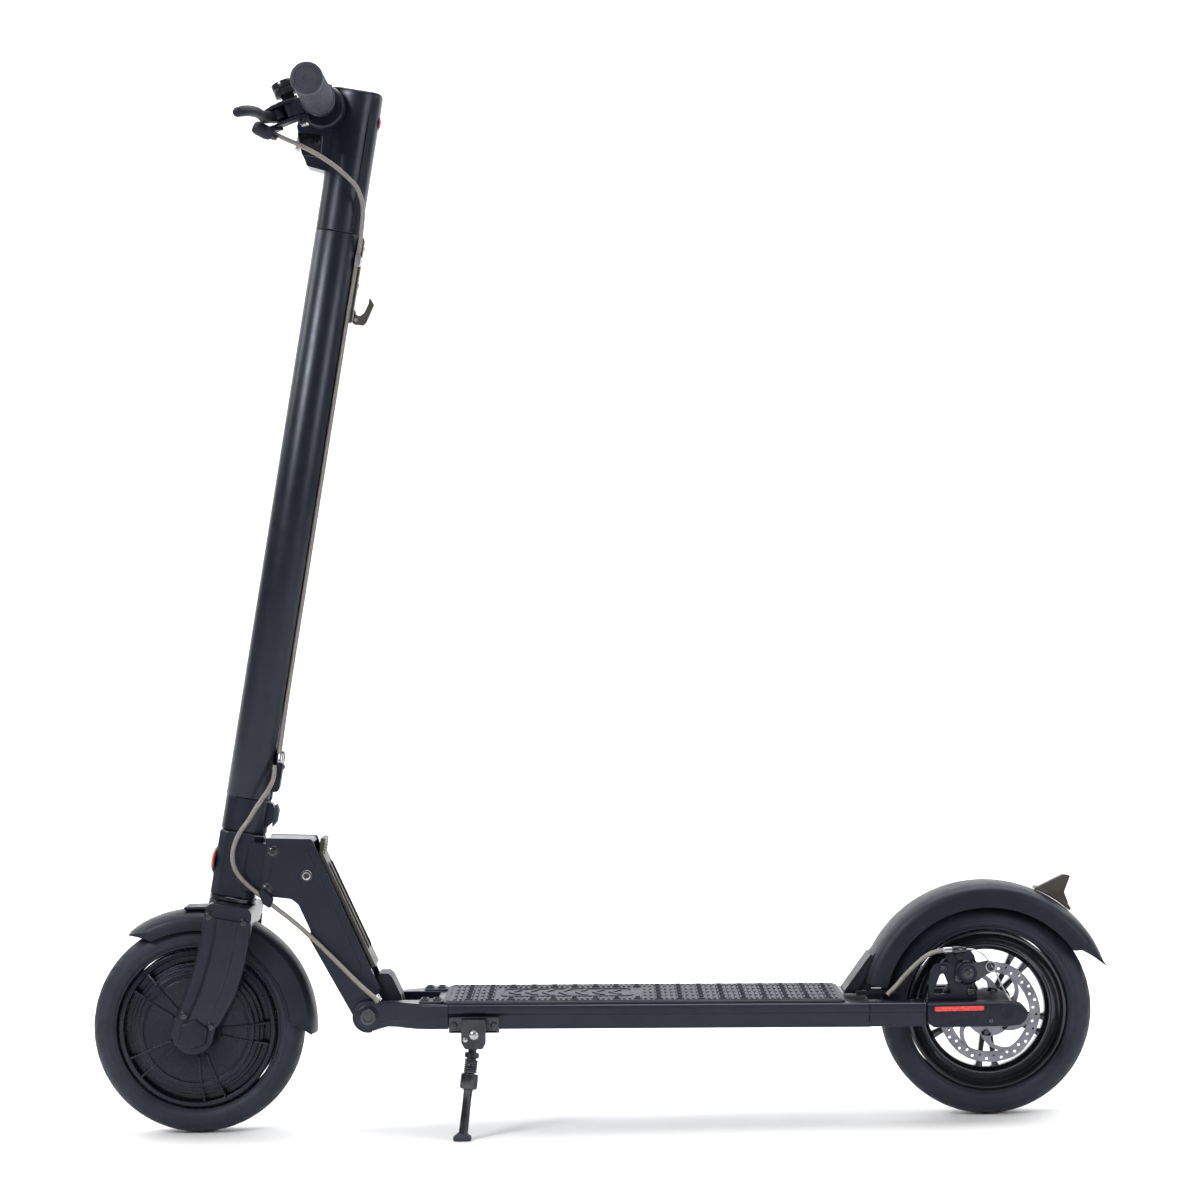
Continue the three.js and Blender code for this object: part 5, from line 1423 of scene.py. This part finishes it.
def carrier_plate(outline, hole, y0, y1):
    """A plate with a hole, by matching points along the two outlines by direction from the hole's middle."""
    middle = Vector((sum(p[0] for p in hole) / len(hole), sum(p[1] for p in hole) / len(hole)))
    steps = 72

    def at(line, angle):
        way = Vector((math.cos(angle), math.sin(angle)))
        best = None
        for a, b in zip(line, line[1:] + line[:1]):
            edge, start = Vector(b) - Vector(a), Vector(a) - middle
            cross = way.x * edge.y - way.y * edge.x
            if abs(cross) < 1e-9:
                continue
            reach = (start.x * edge.y - start.y * edge.x) / cross
            place = (start.x * way.y - start.y * way.x) / cross
            if reach > 0 and -1e-6 <= place <= 1 + 1e-6 and (best is None or reach > best):
                best = reach
        return tuple(middle + way * best)

    angles = [2 * math.pi * k / steps for k in range(steps)]
    return frame_plate([at(outline, a) for a in angles], [at(hole, a) for a in angles], y0, y1)


# ---------- Kickstand ----------
def stand_bracket():
    base = slab(oblong(0.4, 53.6, -76.8, -48, 3, 4), -3.2, -0.3)
    wall = block(0.4, 53.6, -76.8, -74, -3, 13.6)
    cheeks = []
    for y0, y1, low in ((-77, -73.6, -9), (-93.6, -90.8, -18)):
        cheek = rounded([(14, 12), (14, low + 7), (18, low), (37, low), (40, low + 7), (40, 12)],
                        [2, 4, 4, 4, 4, 2], 4)
        cheeks.append(prism(cheek, y0, y1))
    bridge = slab(oblong(14, 40, -93.4, -74, 3, 3), 9, 12.2)
    piece("stand_bracket", combined(base, wall, *cheeks, bridge), DECK, "dark steel", "deck",
          ["kickstand_bracket"], 0.7)
    for n, x in enumerate((6, 48)):
        screw(f"stand_screw_{n + 1}", (x, -76.7, 5), (0, -1, 0), 3.8, DECK, "deck")
    for name, x, z, r in (("stand_pivot_rivet", 27.5, -3.1, 4.9), ("stand_stop_rivet", 18.6, -7.8, 3.0)):
        rivet = stack([(0, 0), (r, 0), (r, 0.6), (r * 0.8, 1.6), (r * 0.4, 2.1), (0, 2.2)],
                      (x, -93.5, z), (0, -1, 0), 32)
        piece(name, rivet, DECK, "zinc", "deck")


def kickstand():
    """The leg from its pivot down to the foot, with the spring round it."""
    top, foot = Vector((-132.5, -82.5, 109)), Vector((-146.5, -97, 3))
    down = (foot - top).normalized()
    head = turned([(0, -4.6), (7.6, -4.6), (8, -4.2), (8, 4.2), (7.6, 4.6), (0, 4.6)], 48)
    head = moved(head, Matrix.Translation(top))
    reach = (foot - top).length
    leg = stack([(0, -2), (4.6, 0), (4.6, 19.2), (7.2, 19.6), (7.8, 20.4), (7.8, 24.6), (7.2, 25.2),
                 (5, 25.6), (5, 41.4), (8.4, 41.8), (9.2, 42.6), (9.4, 46), (9.4, 55.4), (8.6, 57.4),
                 (5.4, 58.4), (4.8, 60), (4.6, 70), (4.9, reach - 3), (0, reach - 2)], top, down, 48)
    piece("stand_leg", combined(head, leg), WORLD, "dark steel", "kickstand", ["kickstand_leg"])
    pad = [[(x, y, z) for x, y in oblong(-156.5 + n, -137.5 - n, -105 + n, -89 - n, 5, 5)]
           for z, n in ((0, 0.8), (0.8, 0), (3.6, 0), (5, 1.6), (8, 5))]
    piece("stand_foot", skin(pad), WORLD, "rubber", "kickstand")
    turn = down.to_track_quat("Z", "Y")
    turns, steps, coil_r, wire_r, start, length = 7.5, 20, 6.5, 0.85, 26.4, 14.4
    coil = []
    for k in range(int(turns * steps) + 1):
        x, y = polar(coil_r, 2 * math.pi * k / steps)
        coil.append(top + down * (start + length * k / (turns * steps)) + turn @ Vector((x, y, 0)))
    piece("stand_spring", sweep(coil, ring_points(wire_r, 8)), WORLD, "dark steel", "kickstand",
          ["kickstand_spring"])


# ---------- The whole scooter ----------
camera()
backdrop()
lights()
brake_cable()
tyre("tyre_front", FRONT, "front_wheel", "front_tyre")
tyre("tyre_rear", REAR, "rear_wheel", "rear_tyre")
for build in (
    hub_motor, rear_rim, brake_rotor, front_fender, rear_fender, fender_catch, fork, stem, hook, head,
    head_light, display, packed_nodes, handlebar, brake_perch, brake_lever, bell, throttle, head_tube, neck,
    lock_lever, deck, mat, front_casting, latch, rear_arms, brake_caliper, pull_arm, stand_bracket, kickstand,
):
    build()
